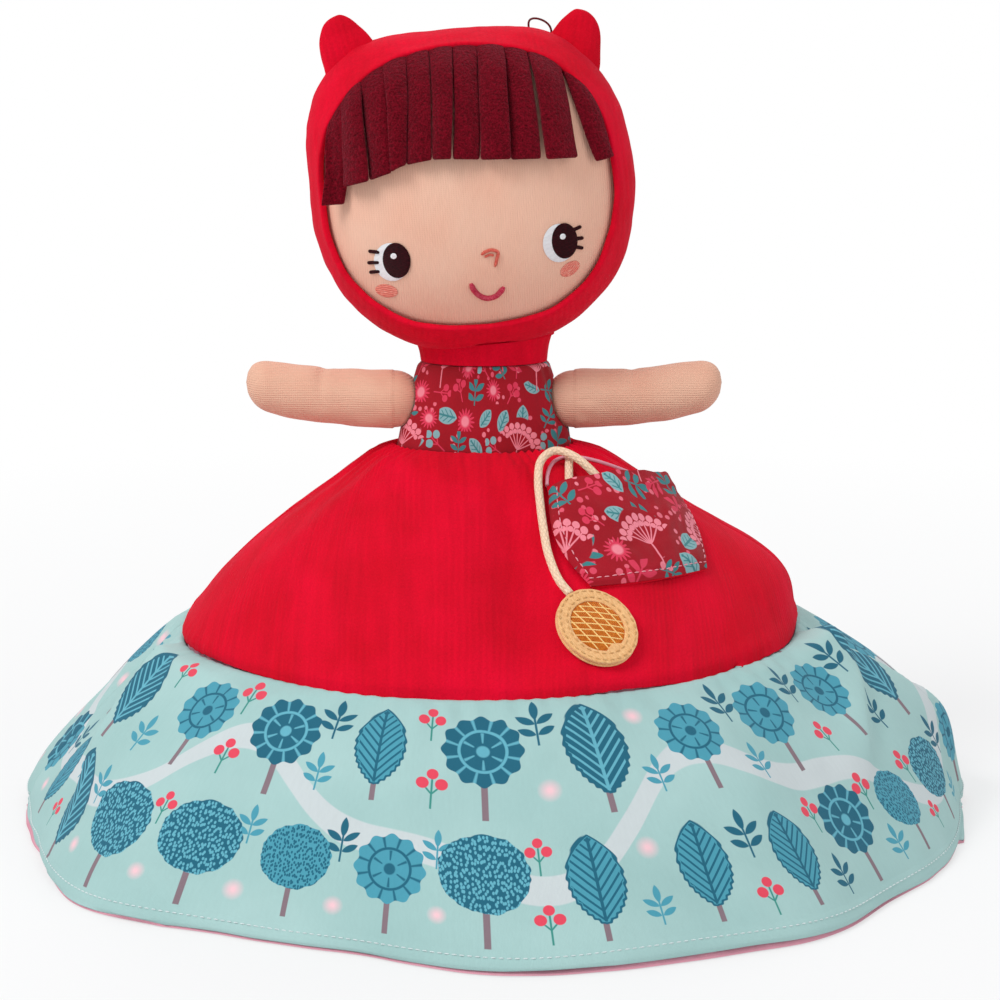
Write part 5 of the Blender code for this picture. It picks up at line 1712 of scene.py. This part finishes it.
def makeTier(name, firstDeg):
    piece, angle, down, metres, length = halfGrid(name, tier, 0, 1, firstDeg)
    points = tierPoints(angle, down, metres, length)
    middle = math.radians(firstDeg + 90)
    radius = np.hypot(points[:, 0] - doll["axisX"], points[:, 1])
    pattern = np.stack([radius * (angle - middle), np.full_like(angle, 0.1 + 0.001 * firstDeg), -metres], axis=1)
    return finishHalf(piece, points, firstDeg, pattern, tier["thickness"])


def flounceLift(angle, metres, length):
    # How far the printed cotton stands off the skirt's smooth form
    lift = sum(gathered(angle, metres, flounce[key]) for key in ("gathers", "longFolds"))
    lift = (lift + uneven(angle, metres, flounce["fine"])) * np.clip(metres / 0.006, 0, 1)
    lift += uneven(angle, metres, flounce["soft"]) * np.clip(metres / 0.02, 0, 1)
    past = metres / length
    for startDeg, endDeg, height, way, gentleDeg, sharpDeg, until in flounce["creases"]:
        # A crease rises gently on one side and falls sharply into a shallow valley on the other
        away = degreesFrom(angle, mixed(startDeg, endDeg, past)) * way
        side = np.where(away > 0, away / gentleDeg, away / sharpDeg)
        fade = eased(0.0, 0.10, past) * (1 - eased(until - 0.35, until, past))
        valley = bell(-away / sharpDeg - 2.6, 1.4)
        lift += height * (bell(side, 1) - 0.32 * valley) * fade
    up = length - metres
    hem = 1 - eased(flounce["hemWidth"] - 0.0006, flounce["hemWidth"] + 0.0002, up)
    lift += flounce["hemRise"] * hem - 0.0007 * bell(up, 0.0007)
    pull = bell(up - flounce["stitchUp"], 0.0006) * (0.6 + 0.4 * np.sin(angle * 430))
    lift -= flounce["stitchPull"] * pull + sideSeam(angle)
    return lift + seamPucker(angle, metres) - flounce["seamTuck"] * bell(metres, 0.0011)


def hemRise(angle):
    # The hem stands a little off the floor and waves
    wave = wobbles(np.cos(angle) * 0.18, np.sin(angle) * 0.18, 0, 0.045, 33.0)
    lifted = flounce["frontRise"] * bell(np.degrees(angle) + 66.0, 24.0)
    return flounce["hemHeight"] + flounce["hemWave"] * wave + lifted


def flouncePoints(angle, down, metres, length):
    outward = skirtOutward(angle, down)
    points = skirtPoints(angle, down) + outward * flounceLift(angle, metres, length)[:, None]
    near = eased(0.70, 1.0, metres / length)
    points[:, 2] = np.maximum(points[:, 2] + hemRise(angle) * near, hemRise(angle))
    return points, outward


def makeFlounce(name, firstDeg):
    piece, angle, down, metres, length = halfGrid(name, flounce, 1, 2, firstDeg)
    points, outward = flouncePoints(angle, down, metres, length)
    radius = np.hypot(points[:, 0] - doll["axisX"], points[:, 1])
    pattern = np.stack([angle / math.tau + 0.5, metres, radius], axis=1)
    return finishHalf(piece, points, firstDeg, pattern, flounce["thickness"])


def makeHemStitches(name, firstDeg):
    # One row of stitches along the hem
    angle = np.radians(firstDeg) + np.linspace(0.006, np.pi - 0.006, 1200)
    lengths = downLength(1, 2)
    metres = np.full_like(angle, lengths[-1] - flounce["stitchUp"])
    down = np.interp(metres, lengths, np.linspace(1, 2, lengthSteps + 1))
    points, outward = flouncePoints(angle, down, metres, lengths[-1])
    return stitchLine(name, [Vector(p) for p in points], [Vector(o) for o in outward], hemStitch)


def makeLining(name, firstDeg):
    # The lining hangs just inside both tiers and shows as a thin line under the hem
    piece, angle, down, metres, length = halfGrid(name, lining, 0, 2, firstDeg)
    tierLength, flounceLength = downLength(0, 1)[-1], downLength(1, 2)[-1]
    above = tierPoints(angle, np.minimum(down, 1), np.minimum(metres, tierLength), tierLength)
    past, low = np.clip(metres - tierLength, 0, flounceLength), np.maximum(down, 1)
    lift = flounceLift(angle, past, flounceLength)
    below = skirtPoints(angle, low) + skirtOutward(angle, low) * lift[:, None]
    points = np.where((down <= 1)[:, None], above, below)
    edge = length - metres
    curl = bell(edge, lining["hemCurl"])
    room = mixed(lining["tierRoom"], lining["flounceRoom"], eased(-0.004, 0.006, metres - tierLength))
    folds = lining["foldDepth"] * waves(angle, metres, 30, 0.8, 45.0)
    folds = folds * np.clip(metres / 0.03, 0, 1) * np.clip(edge / 0.02, 0, 1)
    slack = np.abs(uneven(angle, metres, lining["soft"]) + uneven(angle, metres, lining["fine"]) + folds)
    inward = (room + slack) * (1 - curl) + 0.00005 * curl
    points = points - skirtOutward(angle, down) * inward[:, None]
    points[:, 2] = np.maximum(points[:, 2], 0.0004)
    pattern = np.stack([angle * lining["patternRadius"], metres, np.zeros_like(angle)], axis=1)
    return finishHalf(piece, points, firstDeg, pattern, lining["thickness"])


# Patch pocket on the skirt's front
pocket = {"anglesDeg": (-66.5, -8.1, -30.7, -65.5), "shares": (0.290, 0.361, 0.597, 0.585), "leftBulgeDeg": 4.2,
          "frontUnder": 0.0022, "gap": 0.0092, "wall": 0.0012, "backUnder": 0.0006, "backWall": 0.0010,
          "backRise": 0.19, "columns": 120, "rows": 84, "backColumns": 90, "backRows": 60,
          "width": 0.058, "height": 0.034, "patternRadius": 0.066, "patternShift": 0.013,
          "edgeRound": 0.0011, "sewnDepth": 0.00030, "sewnIn": 0.0021, "mouthFold": 0.00045, "mouthWave": 0.0012,
          "softDepth": 0.0015, "fineDepth": 0.0004, "pipingRadius": 0.0007}
pocketStitch = {"pitch": 0.0029, "length": 0.0020, "radius": 0.00023, "lift": 0.00008, "bow": 0.00012}


def pocketPlace(u, v):
    # The angle and share down the skirt at a place across and down the pocket, between its four corners
    weights = ((1 - u) * (1 - v), u * (1 - v), u * v, (1 - u) * v)
    angle = sum(weight * value for weight, value in zip(weights, pocket["anglesDeg"]))
    angle = angle - pocket["leftBulgeDeg"] * np.sin(np.pi * v) * (1 - u) ** 2
    down = sum(weight * value for weight, value in zip(weights, pocket["shares"]))
    return np.radians(angle), down


def pocketOuter(u, v):
    # The outside of the pocket's front, with its mouth standing open
    angle, down = pocketPlace(u, v)
    outward = skirtOutward(angle, down)
    openShare = np.sin(np.pi * np.clip(u, 0, 1)) ** 0.55 * (1 - v) ** 0.8
    rim = np.minimum(np.minimum(u, 1 - u) * pocket["width"], (1 - v) * pocket["height"])
    x, y = u * 0.06, v * pocket["height"]
    soft = pocket["softDepth"] * wobbles(x, y, 0, 0.012, 51.0) + pocket["fineDepth"] * wobbles(x, y, 0, 0.004, 53.0)
    lift = pocket["frontUnder"] + pocket["wall"] + pocket["gap"] * openShare + soft * np.clip(rim / 0.003, 0, 1)
    lift += pocket["mouthWave"] * wobbles(x, 0, 0, 0.009, 57.0) * (1 - v) ** 3 * np.sin(np.pi * u)
    lift += pocket["mouthFold"] * (1 - eased(0.14, 0.17, v)) - pocket["edgeRound"] * bell(rim, 0.0009)
    lift -= pocket["sewnDepth"] * bell(rim - pocket["sewnIn"], 0.0006)
    return skirtPoints(angle, down) + outward * lift[:, None], outward


def makePocketFront(name):
    piece, u, v = flatCloth(name, pocket["columns"], pocket["rows"])
    angle, down = pocketPlace(u, v)
    across = angle * pocket["patternRadius"] + pocket["patternShift"]
    pattern = np.stack([across, v * pocket["height"], np.zeros_like(u)], axis=1)
    return laidCloth(piece, pocketOuter(u, v)[0], pattern, pocket["wall"])


def makePocketStitches(name):
    # Down one side, along the bottom and up the other side
    left, right, top, bottom = 0.036, 0.964, 0.03, 0.94
    down, across = np.linspace(top, bottom, 160), np.linspace(left, right, 260)
    u = np.concatenate([np.full_like(down, left), across, np.full_like(down, right)])
    v = np.concatenate([down, np.full_like(across, bottom), down[::-1]])
    points, outward = pocketOuter(u, v)
    return stitchLine(name, [Vector(p) for p in points], [Vector(o) for o in outward], pocketStitch)


def pocketBackPoints(u, t, lift):
    # The back stands up behind the mouth and ends with the front at its foot
    angle, down = pocketPlace(u, np.zeros_like(u))
    top = down - pocket["backRise"] * np.sin(np.pi * np.clip(u, 0, 1) ** 0.7)
    lowAngle, lowDown = pocketPlace(u, np.ones_like(u))
    angle, down = angle + (lowAngle - angle) * t, top + (lowDown - top) * t
    outward = skirtOutward(angle, down)
    return skirtPoints(angle, down) + outward * np.asarray(lift)[..., None], outward


def makePocketBack(name):
    piece, u, t = flatCloth(name, pocket["backColumns"], pocket["backRows"])
    soft = 0.0006 * wobbles(u * 0.06, t * pocket["height"], 0, 0.012, 61.0)
    points, outward = pocketBackPoints(u, t, pocket["backUnder"] + pocket["backWall"] + 0.0004 + soft)
    pattern = np.stack([u * 0.060, t * 0.036, np.zeros_like(u)], axis=1)
    return laidCloth(piece, points, pattern, pocket["backWall"])


def makePocketPiping(name):
    # The rolled edge of the pocket's back, over its mouth
    u = np.linspace(0.012, 0.985, 90)
    lift = np.full_like(u, pocket["backUnder"] + pocket["backWall"] + 0.0006)
    points, outward = pocketBackPoints(u, np.full_like(u, 0.004), lift)
    return threadTube(name, [Vector(p) for p in points], pocket["pipingRadius"], 12)


# Charm of felt on the end of the cord
charm = {"angleDeg": -67.2, "share": 0.705, "turnDeg": 21.0, "halfWidth": 0.0140, "halfLength": 0.0152,
         "wall": 0.0016, "windowShare": 0.67, "windowLap": 0.02, "dome": 0.0009, "edgeFrom": 0.35, "edgeTo": 0.65,
         "edgePower": 0.42, "notch": 0.15, "lineRadius": 0.00024, "shortestLine": 0.002, "stitchShares": (0.93, 0.76),
         "lineSets": ({"angleDeg": -33.0, "spacing": 0.0024}, {"angleDeg": -83.0, "spacing": 0.0034})}
charmStitch = {"pitch": 0.0026, "length": 0.0018, "radius": 0.00024, "lift": 0.00003, "bow": 0.00010}


def charmFrame():
    # The charm's own +Z points off the cloth and its +Y towards the cord
    angle = np.array([math.radians(charm["angleDeg"])])
    down = np.array([charm["share"]])
    outward = Vector(skirtOutward(angle, down)[0])
    middle = Vector(skirtPoints(angle, down)[0]) + outward * doll["gap"]
    uphill = (Vector((0, 0, 1)) - outward * outward.z).normalized()
    up = Matrix.Rotation(math.radians(charm["turnDeg"]), 3, outward) @ uphill
    across = up.cross(outward)
    place = Matrix((across, up, outward)).transposed().to_4x4()
    place.translation = middle
    return place


charmPlace = charmFrame()


def onCharm(share, turn, height):
    # A point of the charm at a share of the way out to its oval edge
    return Vector((charm["halfWidth"] * share * math.cos(turn), charm["halfLength"] * share * math.sin(turn), height))


def makeCharmBack(name):
    # An oval plate of felt with a rounded edge
    def place(turn, t):
        rise = (t - charm["edgeFrom"]) / (charm["edgeTo"] - charm["edgeFrom"])
        return onCharm(math.sin(math.pi * t) ** charm["edgePower"], turn, charm["wall"] * max(0.0, min(1.0, rise)))

    piece = roundForm(name, 120, 40, place)
    return finished(piece, charmPlace, 70, readPoints(piece) + 0.1)


def makeCharmFront(name):
    # A ring of felt with square edges, whose window has a notched foot
    deselect()
    bpy.ops.mesh.primitive_torus_add(major_segments=144, minor_segments=28, major_radius=1, minor_radius=0.3)
    piece = bpy.context.object
    piece.name = name
    shaped = []
    for x, y, z in readPoints(piece):
        turn = math.atan2(y, x)
        around = math.atan2(z, math.hypot(x, y) - 1)
        side, rise = (math.copysign(abs(part) ** charm["edgePower"], part)
                      for part in (math.cos(around), math.sin(around)))
        foot = turn + math.pi / 2
        inner = charm["windowShare"] - charm["notch"] * math.exp(-(foot / 0.26) ** 4) * (0.85 + 0.15 * math.cos(foot * 22))
        share = (1 + inner) / 2 + side * (1 - inner) / 2
        ripple = 1 + 0.004 * math.sin(turn * 19 + 1) * share
        height = charm["wall"] * 1.5 + doll["gap"] + rise * charm["wall"] / 2
        dent = 0.00022 * wobble((x * 0.01, y * 0.01, 0), 0.004, 71.0)
        shaped.append(onCharm(share * ripple, turn, height + dent * (rise > 0)))
    writePoints(piece, shaped)
    return finished(piece, charmPlace, 70)


def makeCharmWindow(name):
    # The embroidered filling: flat below and domed above
    def place(turn, t):
        across = math.sin(math.pi * t) ** 0.8
        rise = charm["wall"] * 0.55 + charm["dome"] * (1 - across ** 2) if t > 0.5 else 0.0
        return onCharm((charm["windowShare"] + charm["windowLap"]) * across, turn, charm["wall"] + doll["gap"] + rise)

    return finished(roundForm(name, 96, 40, place), charmPlace, 60)


def makeCharmLines(name):
    # Raised stitch lines that cross each other over the window
    lines = []
    rx = charm["halfWidth"] * charm["windowShare"]
    ry = charm["halfLength"] * charm["windowShare"]
    for lineSet in charm["lineSets"]:
        turn = math.radians(lineSet["angleDeg"])
        along = Vector((math.cos(turn), math.sin(turn), 0))
        aside = Vector((-along.y, along.x, 0))
        count = int(rx / lineSet["spacing"])
        for i in range(-count, count + 1):
            step = i * lineSet["spacing"] + 0.0003
            reach = max(0.0, 1 - (step / rx) ** 2) ** 0.5 * (rx + ry) / 2
            if reach < charm["shortestLine"]:
                continue
            points = []
            for k in range(15):
                s = (k / 14 * 2 - 1) * reach
                flat = along * s + aside * step
                away = min(1.0, math.hypot(flat.x / rx, flat.y / ry))
                rise = charm["wall"] * 1.55 + doll["gap"] + charm["dome"] * (1 - away ** 2) + 0.00002
                points.append(Vector((flat.x, flat.y, rise)))
            lines.append(threadTube(name, points, charm["lineRadius"], 8))
    return placed(joined(name, lines), charmPlace)


def makeCharmStitches(name, share):
    steps = 240
    top = charm["wall"] * 2 + doll["gap"]
    points = [charmPlace @ onCharm(share, math.tau * i / steps, top) for i in range(steps + 1)]
    return stitchLine(name, points, [charmPlace.to_3x3() @ Vector((0, 0, 1))] * len(points), charmStitch)


# Cord from the pocket's back edge, through the pocket's mouth, down to the charm
cord = {"diameter": 0.0030, "length": 0.163, "points": 46, "rows": 220, "sides": 16, "straightEnd": 2.4}
cordRoute = [
    (0.0255, -0.0239, 0.1408), (0.0253, -0.0309, 0.1379), (0.0252, -0.0409, 0.1332), (0.0260, -0.0495, 0.1287),
    (0.0310, -0.0556, 0.1238), (0.0385, -0.0550, 0.1216), (0.0424, -0.0486, 0.1241), (0.0398, -0.0409, 0.1301),
    (0.0342, -0.0357, 0.1363), (0.0274, -0.0320, 0.1416), (0.0202, -0.0302, 0.1435), (0.0152, -0.0344, 0.1406),
    (0.0141, -0.0416, 0.1351), (0.0147, -0.0507, 0.1285), (0.0157, -0.0610, 0.1218), (0.0173, -0.0710, 0.1147)]


def makeCord(name):
    # The cord's tube, and the path that is declared for it
    rim = charmPlace @ Vector((0, charm["halfLength"] + doll["gap"], charm["wall"]))
    up = charmPlace.to_3x3() @ Vector((0, 1, 0))
    fine = curveThrough(cordRoute + [rim + up * cord["straightEnd"] * cord["diameter"], rim], 40)
    piece = threadTube(name, evenly(fine, cord["rows"]), cord["diameter"] / 2, cord["sides"])
    print("cord length", round(lengthsAlong(fine)[-1], 4))
    return piece, [tuple(point) for point in evenly(fine, cord["points"])]


# The charm on its cord. Replaced solids come last in each call

charmCord, cordPath = makeCord("charmCord")
charmBack = dressed(makeCharmBack("charmBack"), tanFelt, "charm", "tan_felt", "charm_back")
charmFront = dressed(makeCharmFront("charmFront"), tanFelt, "charm", "tan_felt", "charm_front")
charmWindow = dressed(makeCharmWindow("charmWindow"), satins["amberSatin"], "charm", "amber_satin",
                      "charm_lattice")
charmLines = dressed(makeCharmLines("charmWindowLines"), threads["goldThread"], "charm", "tan_felt")
charmStitches = [dressed(makeCharmStitches(f"charmStitches{i}", share), threads["sandThread"], "charm",
                         "cream_cord") for i, share in enumerate(charm["stitchShares"])]
dressed(charmCord, creamCord, "body", "cream_cord", "charm_cord")
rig.cord(charmCord, exit=cordPath[0], length=cord["length"], diameter=cord["diameter"], far_end="fitting",
        stiffness="limp", lay="hanging", path=cordPath,
        with_pieces=[charmBack, charmFront, charmWindow, charmLines] + charmStitches)
print("cord and charm made")


# Both dolls. Each finish stands with the name of its slot
sides = (("Left", 1), ("Right", -1))
upperLooks = {"hood": "Hood", "hoodFinish": (redVelour, "red_velour"), "locks": fringe["locks"],
              "hairFinish": (burgundyFleece, "burgundy_fleece"), "neckLeanDeg": head["leanDeg"],
              "torsoFinish": (redPrint, "dark_red_print"), "torsoSeed": 1.0, "armDroopDeg": 0.0,
              "armFullness": 0.86, "armSeed": 2.0, "ears": True}
lowerLooks = {"hood": "Bonnet", "hoodFinish": (pinkLining, "pink_lining"), "locks": lowerLocks,
              "hairFinish": (brownFleece, "brown_fleece"), "neckLeanDeg": 0.0,
              "torsoFinish": (pinkLining, "pink_lining"), "torsoSeed": 11.0, "armDroopDeg": 40.0,
              "armFullness": 0.90, "armSeed": 7.0, "ears": False}


def makeDoll(which, who, looks):
    # Every piece of one doll, and its hood and fringe to be declared as cloth
    body = which + "_head"
    hoodMaterial, hoodSlot = looks["hoodFinish"]
    hairMaterial, hairSlot = looks["hairFinish"]
    torsoMaterial, torsoSlot = looks["torsoFinish"]
    dressed(makeHead(which + "Head", who, 0.9), faceJersey, body, "skin_jersey", body)
    hood = dressed(makeHood(which + looks["hood"], who), hoodMaterial, body, hoodSlot,
                   f"{which}_{looks['hood'].lower()}")
    hair = makeFringe(which + "Fringe", who, looks["locks"], hairMaterial, hairSlot, body, which + "_fringe")
    makeFace(which, who, body)
    if looks["ears"]:
        for side, sign in sides:
            dressed(makeEar(f"{which}Ear{side}", who, sign), hoodMaterial, body, hoodSlot,
                    f"{which}_ear_{side.lower()}")
        dressed(makeHangingLoop(which + "HangingLoop", who), threads["darkThread"], body, "dark_thread",
                which + "_hanging_loop")
    dressed(makeNeck(which + "Neck", who, looks["neckLeanDeg"]), hoodMaterial, which + "_neck", hoodSlot,
            which + "_neck")
    dressed(makeTorso(which + "Torso", who, looks["torsoSeed"]), torsoMaterial, "body", torsoSlot,
            which + "_torso")
    for side, sign in sides:
        armBody = f"{which}_arm_{side.lower()}"
        arm = makeArm(f"{which}Arm{side}", who, sign, looks["armDroopDeg"], looks["armFullness"],
                      looks["armSeed"] + sign)
        dressed(arm, armJersey, armBody, "skin_jersey", armBody)
    return hood, hair


upperHood, upperFringe = makeDoll("upper", upperDoll, upperLooks)
print("standing doll made")
lowerBonnet, lowerFringe = makeDoll("lower", lowerDoll, lowerLooks)
print("hanging doll made")


# Skirt and pocket

sheets = {}
for where, firstDeg in (("Front", -180.0), ("Back", 0.0)):
    low = where.lower()
    sheets["tier" + where] = dressed(makeTier("skirtTier" + where, firstDeg), redVelour, "body",
                                     "red_velour", "skirt_tier_" + low)
    sheets["flounce" + where] = dressed(makeFlounce("skirtFlounce" + where, firstDeg), aquaPrint, "body",
                                        "aqua_print", "skirt_flounce_" + low)
    sheets["hem" + where] = dressed(makeHemStitches("hemStitches" + where, firstDeg), threads["aquaThread"], "body",
                                    "aqua_print")
    sheets["lining" + where] = dressed(makeLining("skirtLining" + where, firstDeg), pinkLining, "body",
                                       "pink_lining", "skirt_lining_" + low)
pocketFront = dressed(makePocketFront("pocketFront"), redPrint, "body", "dark_red_print", "pocket_front")
pocketStitches = dressed(makePocketStitches("pocketStitches"), threads["pinkThread"], "body", "dark_red_print")
pocketBack = dressed(makePocketBack("pocketBack"), redVelour, "body", "red_velour", "pocket_back")
pocketPiping = dressed(makePocketPiping("pocketPiping"), pinkLining, "body", "pink_lining")
print("skirt and pocket made")


# The cloth, with each piece's flat cut in metres, its area, how it is held, what it lies on and what is sewn to it
cloths = [
    (upperHood, (0.225, 0.160), 0.0280, "stretched", ["upperHead"], []),
    (upperFringe, (0.102, 0.056), 0.0050, "hung", ["upperHead"], []),
    (lowerBonnet, (0.205, 0.146), 0.0232, "stretched", ["lowerHead"], []),
    (lowerFringe, (0.092, 0.047), 0.0038, "hung", ["lowerHead"], []),
    (pocketBack, (0.058, 0.062), 0.0032, "laid", ["skirtTierFront"], []),
    (pocketFront, (0.056, 0.060), 0.0030, "laid", ["pocketBack"], [pocketStitches, pocketPiping])]
for where in ("Front", "Back"):
    cloths += [
        (sheets["tier" + where], (0.360, 0.106), 0.0266, "gathered", ["skirtLining" + where], []),
        (sheets["flounce" + where], (0.560, 0.104), 0.0465, "hung", ["skirtTier" + where], [sheets["hem" + where]]),
        (sheets["lining" + where], (0.560, 0.210), 0.0735, "hung", ["upperTorso"], [])]
for piece, flat, area, held, under, sewnOn in cloths:
    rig.sheet(piece, flat=flat, area=area, held=held, rests_on=under, with_pieces=sewnOn)


# Floor, backdrop and lights

studio = {"floorColour": (0.80, 0.80, 0.80), "floorSize": 24.0, "floorGlow": 0.60, "glowFrom": 0.24,
          "glowTo": 0.75, "skyColour": (0.95, 0.97, 1.0), "skyStrength": 0.55}


def toCameraOnly(tree, plain, white, output, share=None):
    # Mixes in a white shader where the camera looks straight at it, by a share if there is one
    blend = tree.nodes.new("ShaderNodeMixShader")
    seen = tree.nodes.new("ShaderNodeLightPath").outputs["Is Camera Ray"]
    if share:
        part = tree.nodes.new("ShaderNodeMath")
        part.operation = "MULTIPLY"
        tree.links.new(seen, part.inputs[0])
        tree.links.new(share, part.inputs[1])
        seen = part.outputs[0]
    for socket, source in enumerate((seen, plain.outputs[0], white.outputs[0])):
        tree.links.new(source, blend.inputs[socket])
    tree.links.new(blend.outputs[0], tree.nodes[output].inputs["Surface"])


deselect()
bpy.ops.mesh.primitive_grid_add(x_subdivisions=8, y_subdivisions=8, size=studio["floorSize"], location=(0, 0, 0))
floor = bpy.context.object
floor.name = "floor"
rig.stage(floor)
floorMaterial = bpy.data.materials.new("paleFloor")
floorMaterial.use_nodes = True
tree = floorMaterial.node_tree
plain = tree.nodes["Principled BSDF"]
plain.inputs["Base Color"].default_value = (*studio["floorColour"], 1)
plain.inputs["Roughness"].default_value = 0.9
plain.inputs["Specular IOR Level"].default_value = 0.1
glow = tree.nodes.new("ShaderNodeEmission")
glow.inputs["Strength"].default_value = 1.0
place = tree.nodes.new("ShaderNodeTexCoord")
away = tree.nodes.new("ShaderNodeVectorMath")
away.operation = "LENGTH"
grow = tree.nodes.new("ShaderNodeMapRange")
for socket, key in (("From Min", "glowFrom"), ("From Max", "glowTo"), ("To Min", "floorGlow")):
    grow.inputs[socket].default_value = studio[key]
tree.links.new(place.outputs["Object"], away.inputs[0])
tree.links.new(away.outputs["Value"], grow.inputs["Value"])
toCameraOnly(tree, plain, glow, "Material Output", grow.outputs[0])
floor.data.materials.append(floorMaterial)

world = bpy.data.worlds.new("studioWorld")
bpy.context.scene.world = world
world.use_nodes = True
tree = world.node_tree
sky = tree.nodes["Background"]
sky.inputs["Color"].default_value = (*studio["skyColour"], 1)
sky.inputs["Strength"].default_value = studio["skyStrength"]
white = tree.nodes.new("ShaderNodeBackground")
white.inputs["Color"].default_value = (1, 1, 1, 1)
white.inputs["Strength"].default_value = 1.0
toCameraOnly(tree, sky, white, "World Output")

lamps = (
    {"name": "keyLamp", "place": (-1.2, -1.0, 1.7), "aim": (0, 0, 0.12), "size": 0.9, "power": 29},
    {"name": "fillLamp", "place": (1.5, -1.0, 0.9), "aim": (0, 0, 0.12), "size": 1.4, "power": 8},
    {"name": "backLamp", "place": (0.2, 1.5, 1.6), "aim": (0, 0, 0.15), "size": 1.4, "power": 12})
for lamp in lamps:
    bpy.ops.object.light_add(type="AREA", location=lamp["place"])
    light = bpy.context.object
    light.name = lamp["name"]
    light.data.size = lamp["size"]
    light.data.energy = lamp["power"]
    light.rotation_euler = (Vector(lamp["aim"]) - Vector(lamp["place"])).to_track_quat("-Z", "Y").to_euler()

bpy.context.scene.view_settings.view_transform = "Standard"

with open("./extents.json", "w") as sizeFile:
    json.dump({"solids": [list(corner) for corner in solidBox],
               "looks": [list(corner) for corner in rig.bounds()]}, sizeFile)
print("scene complete")
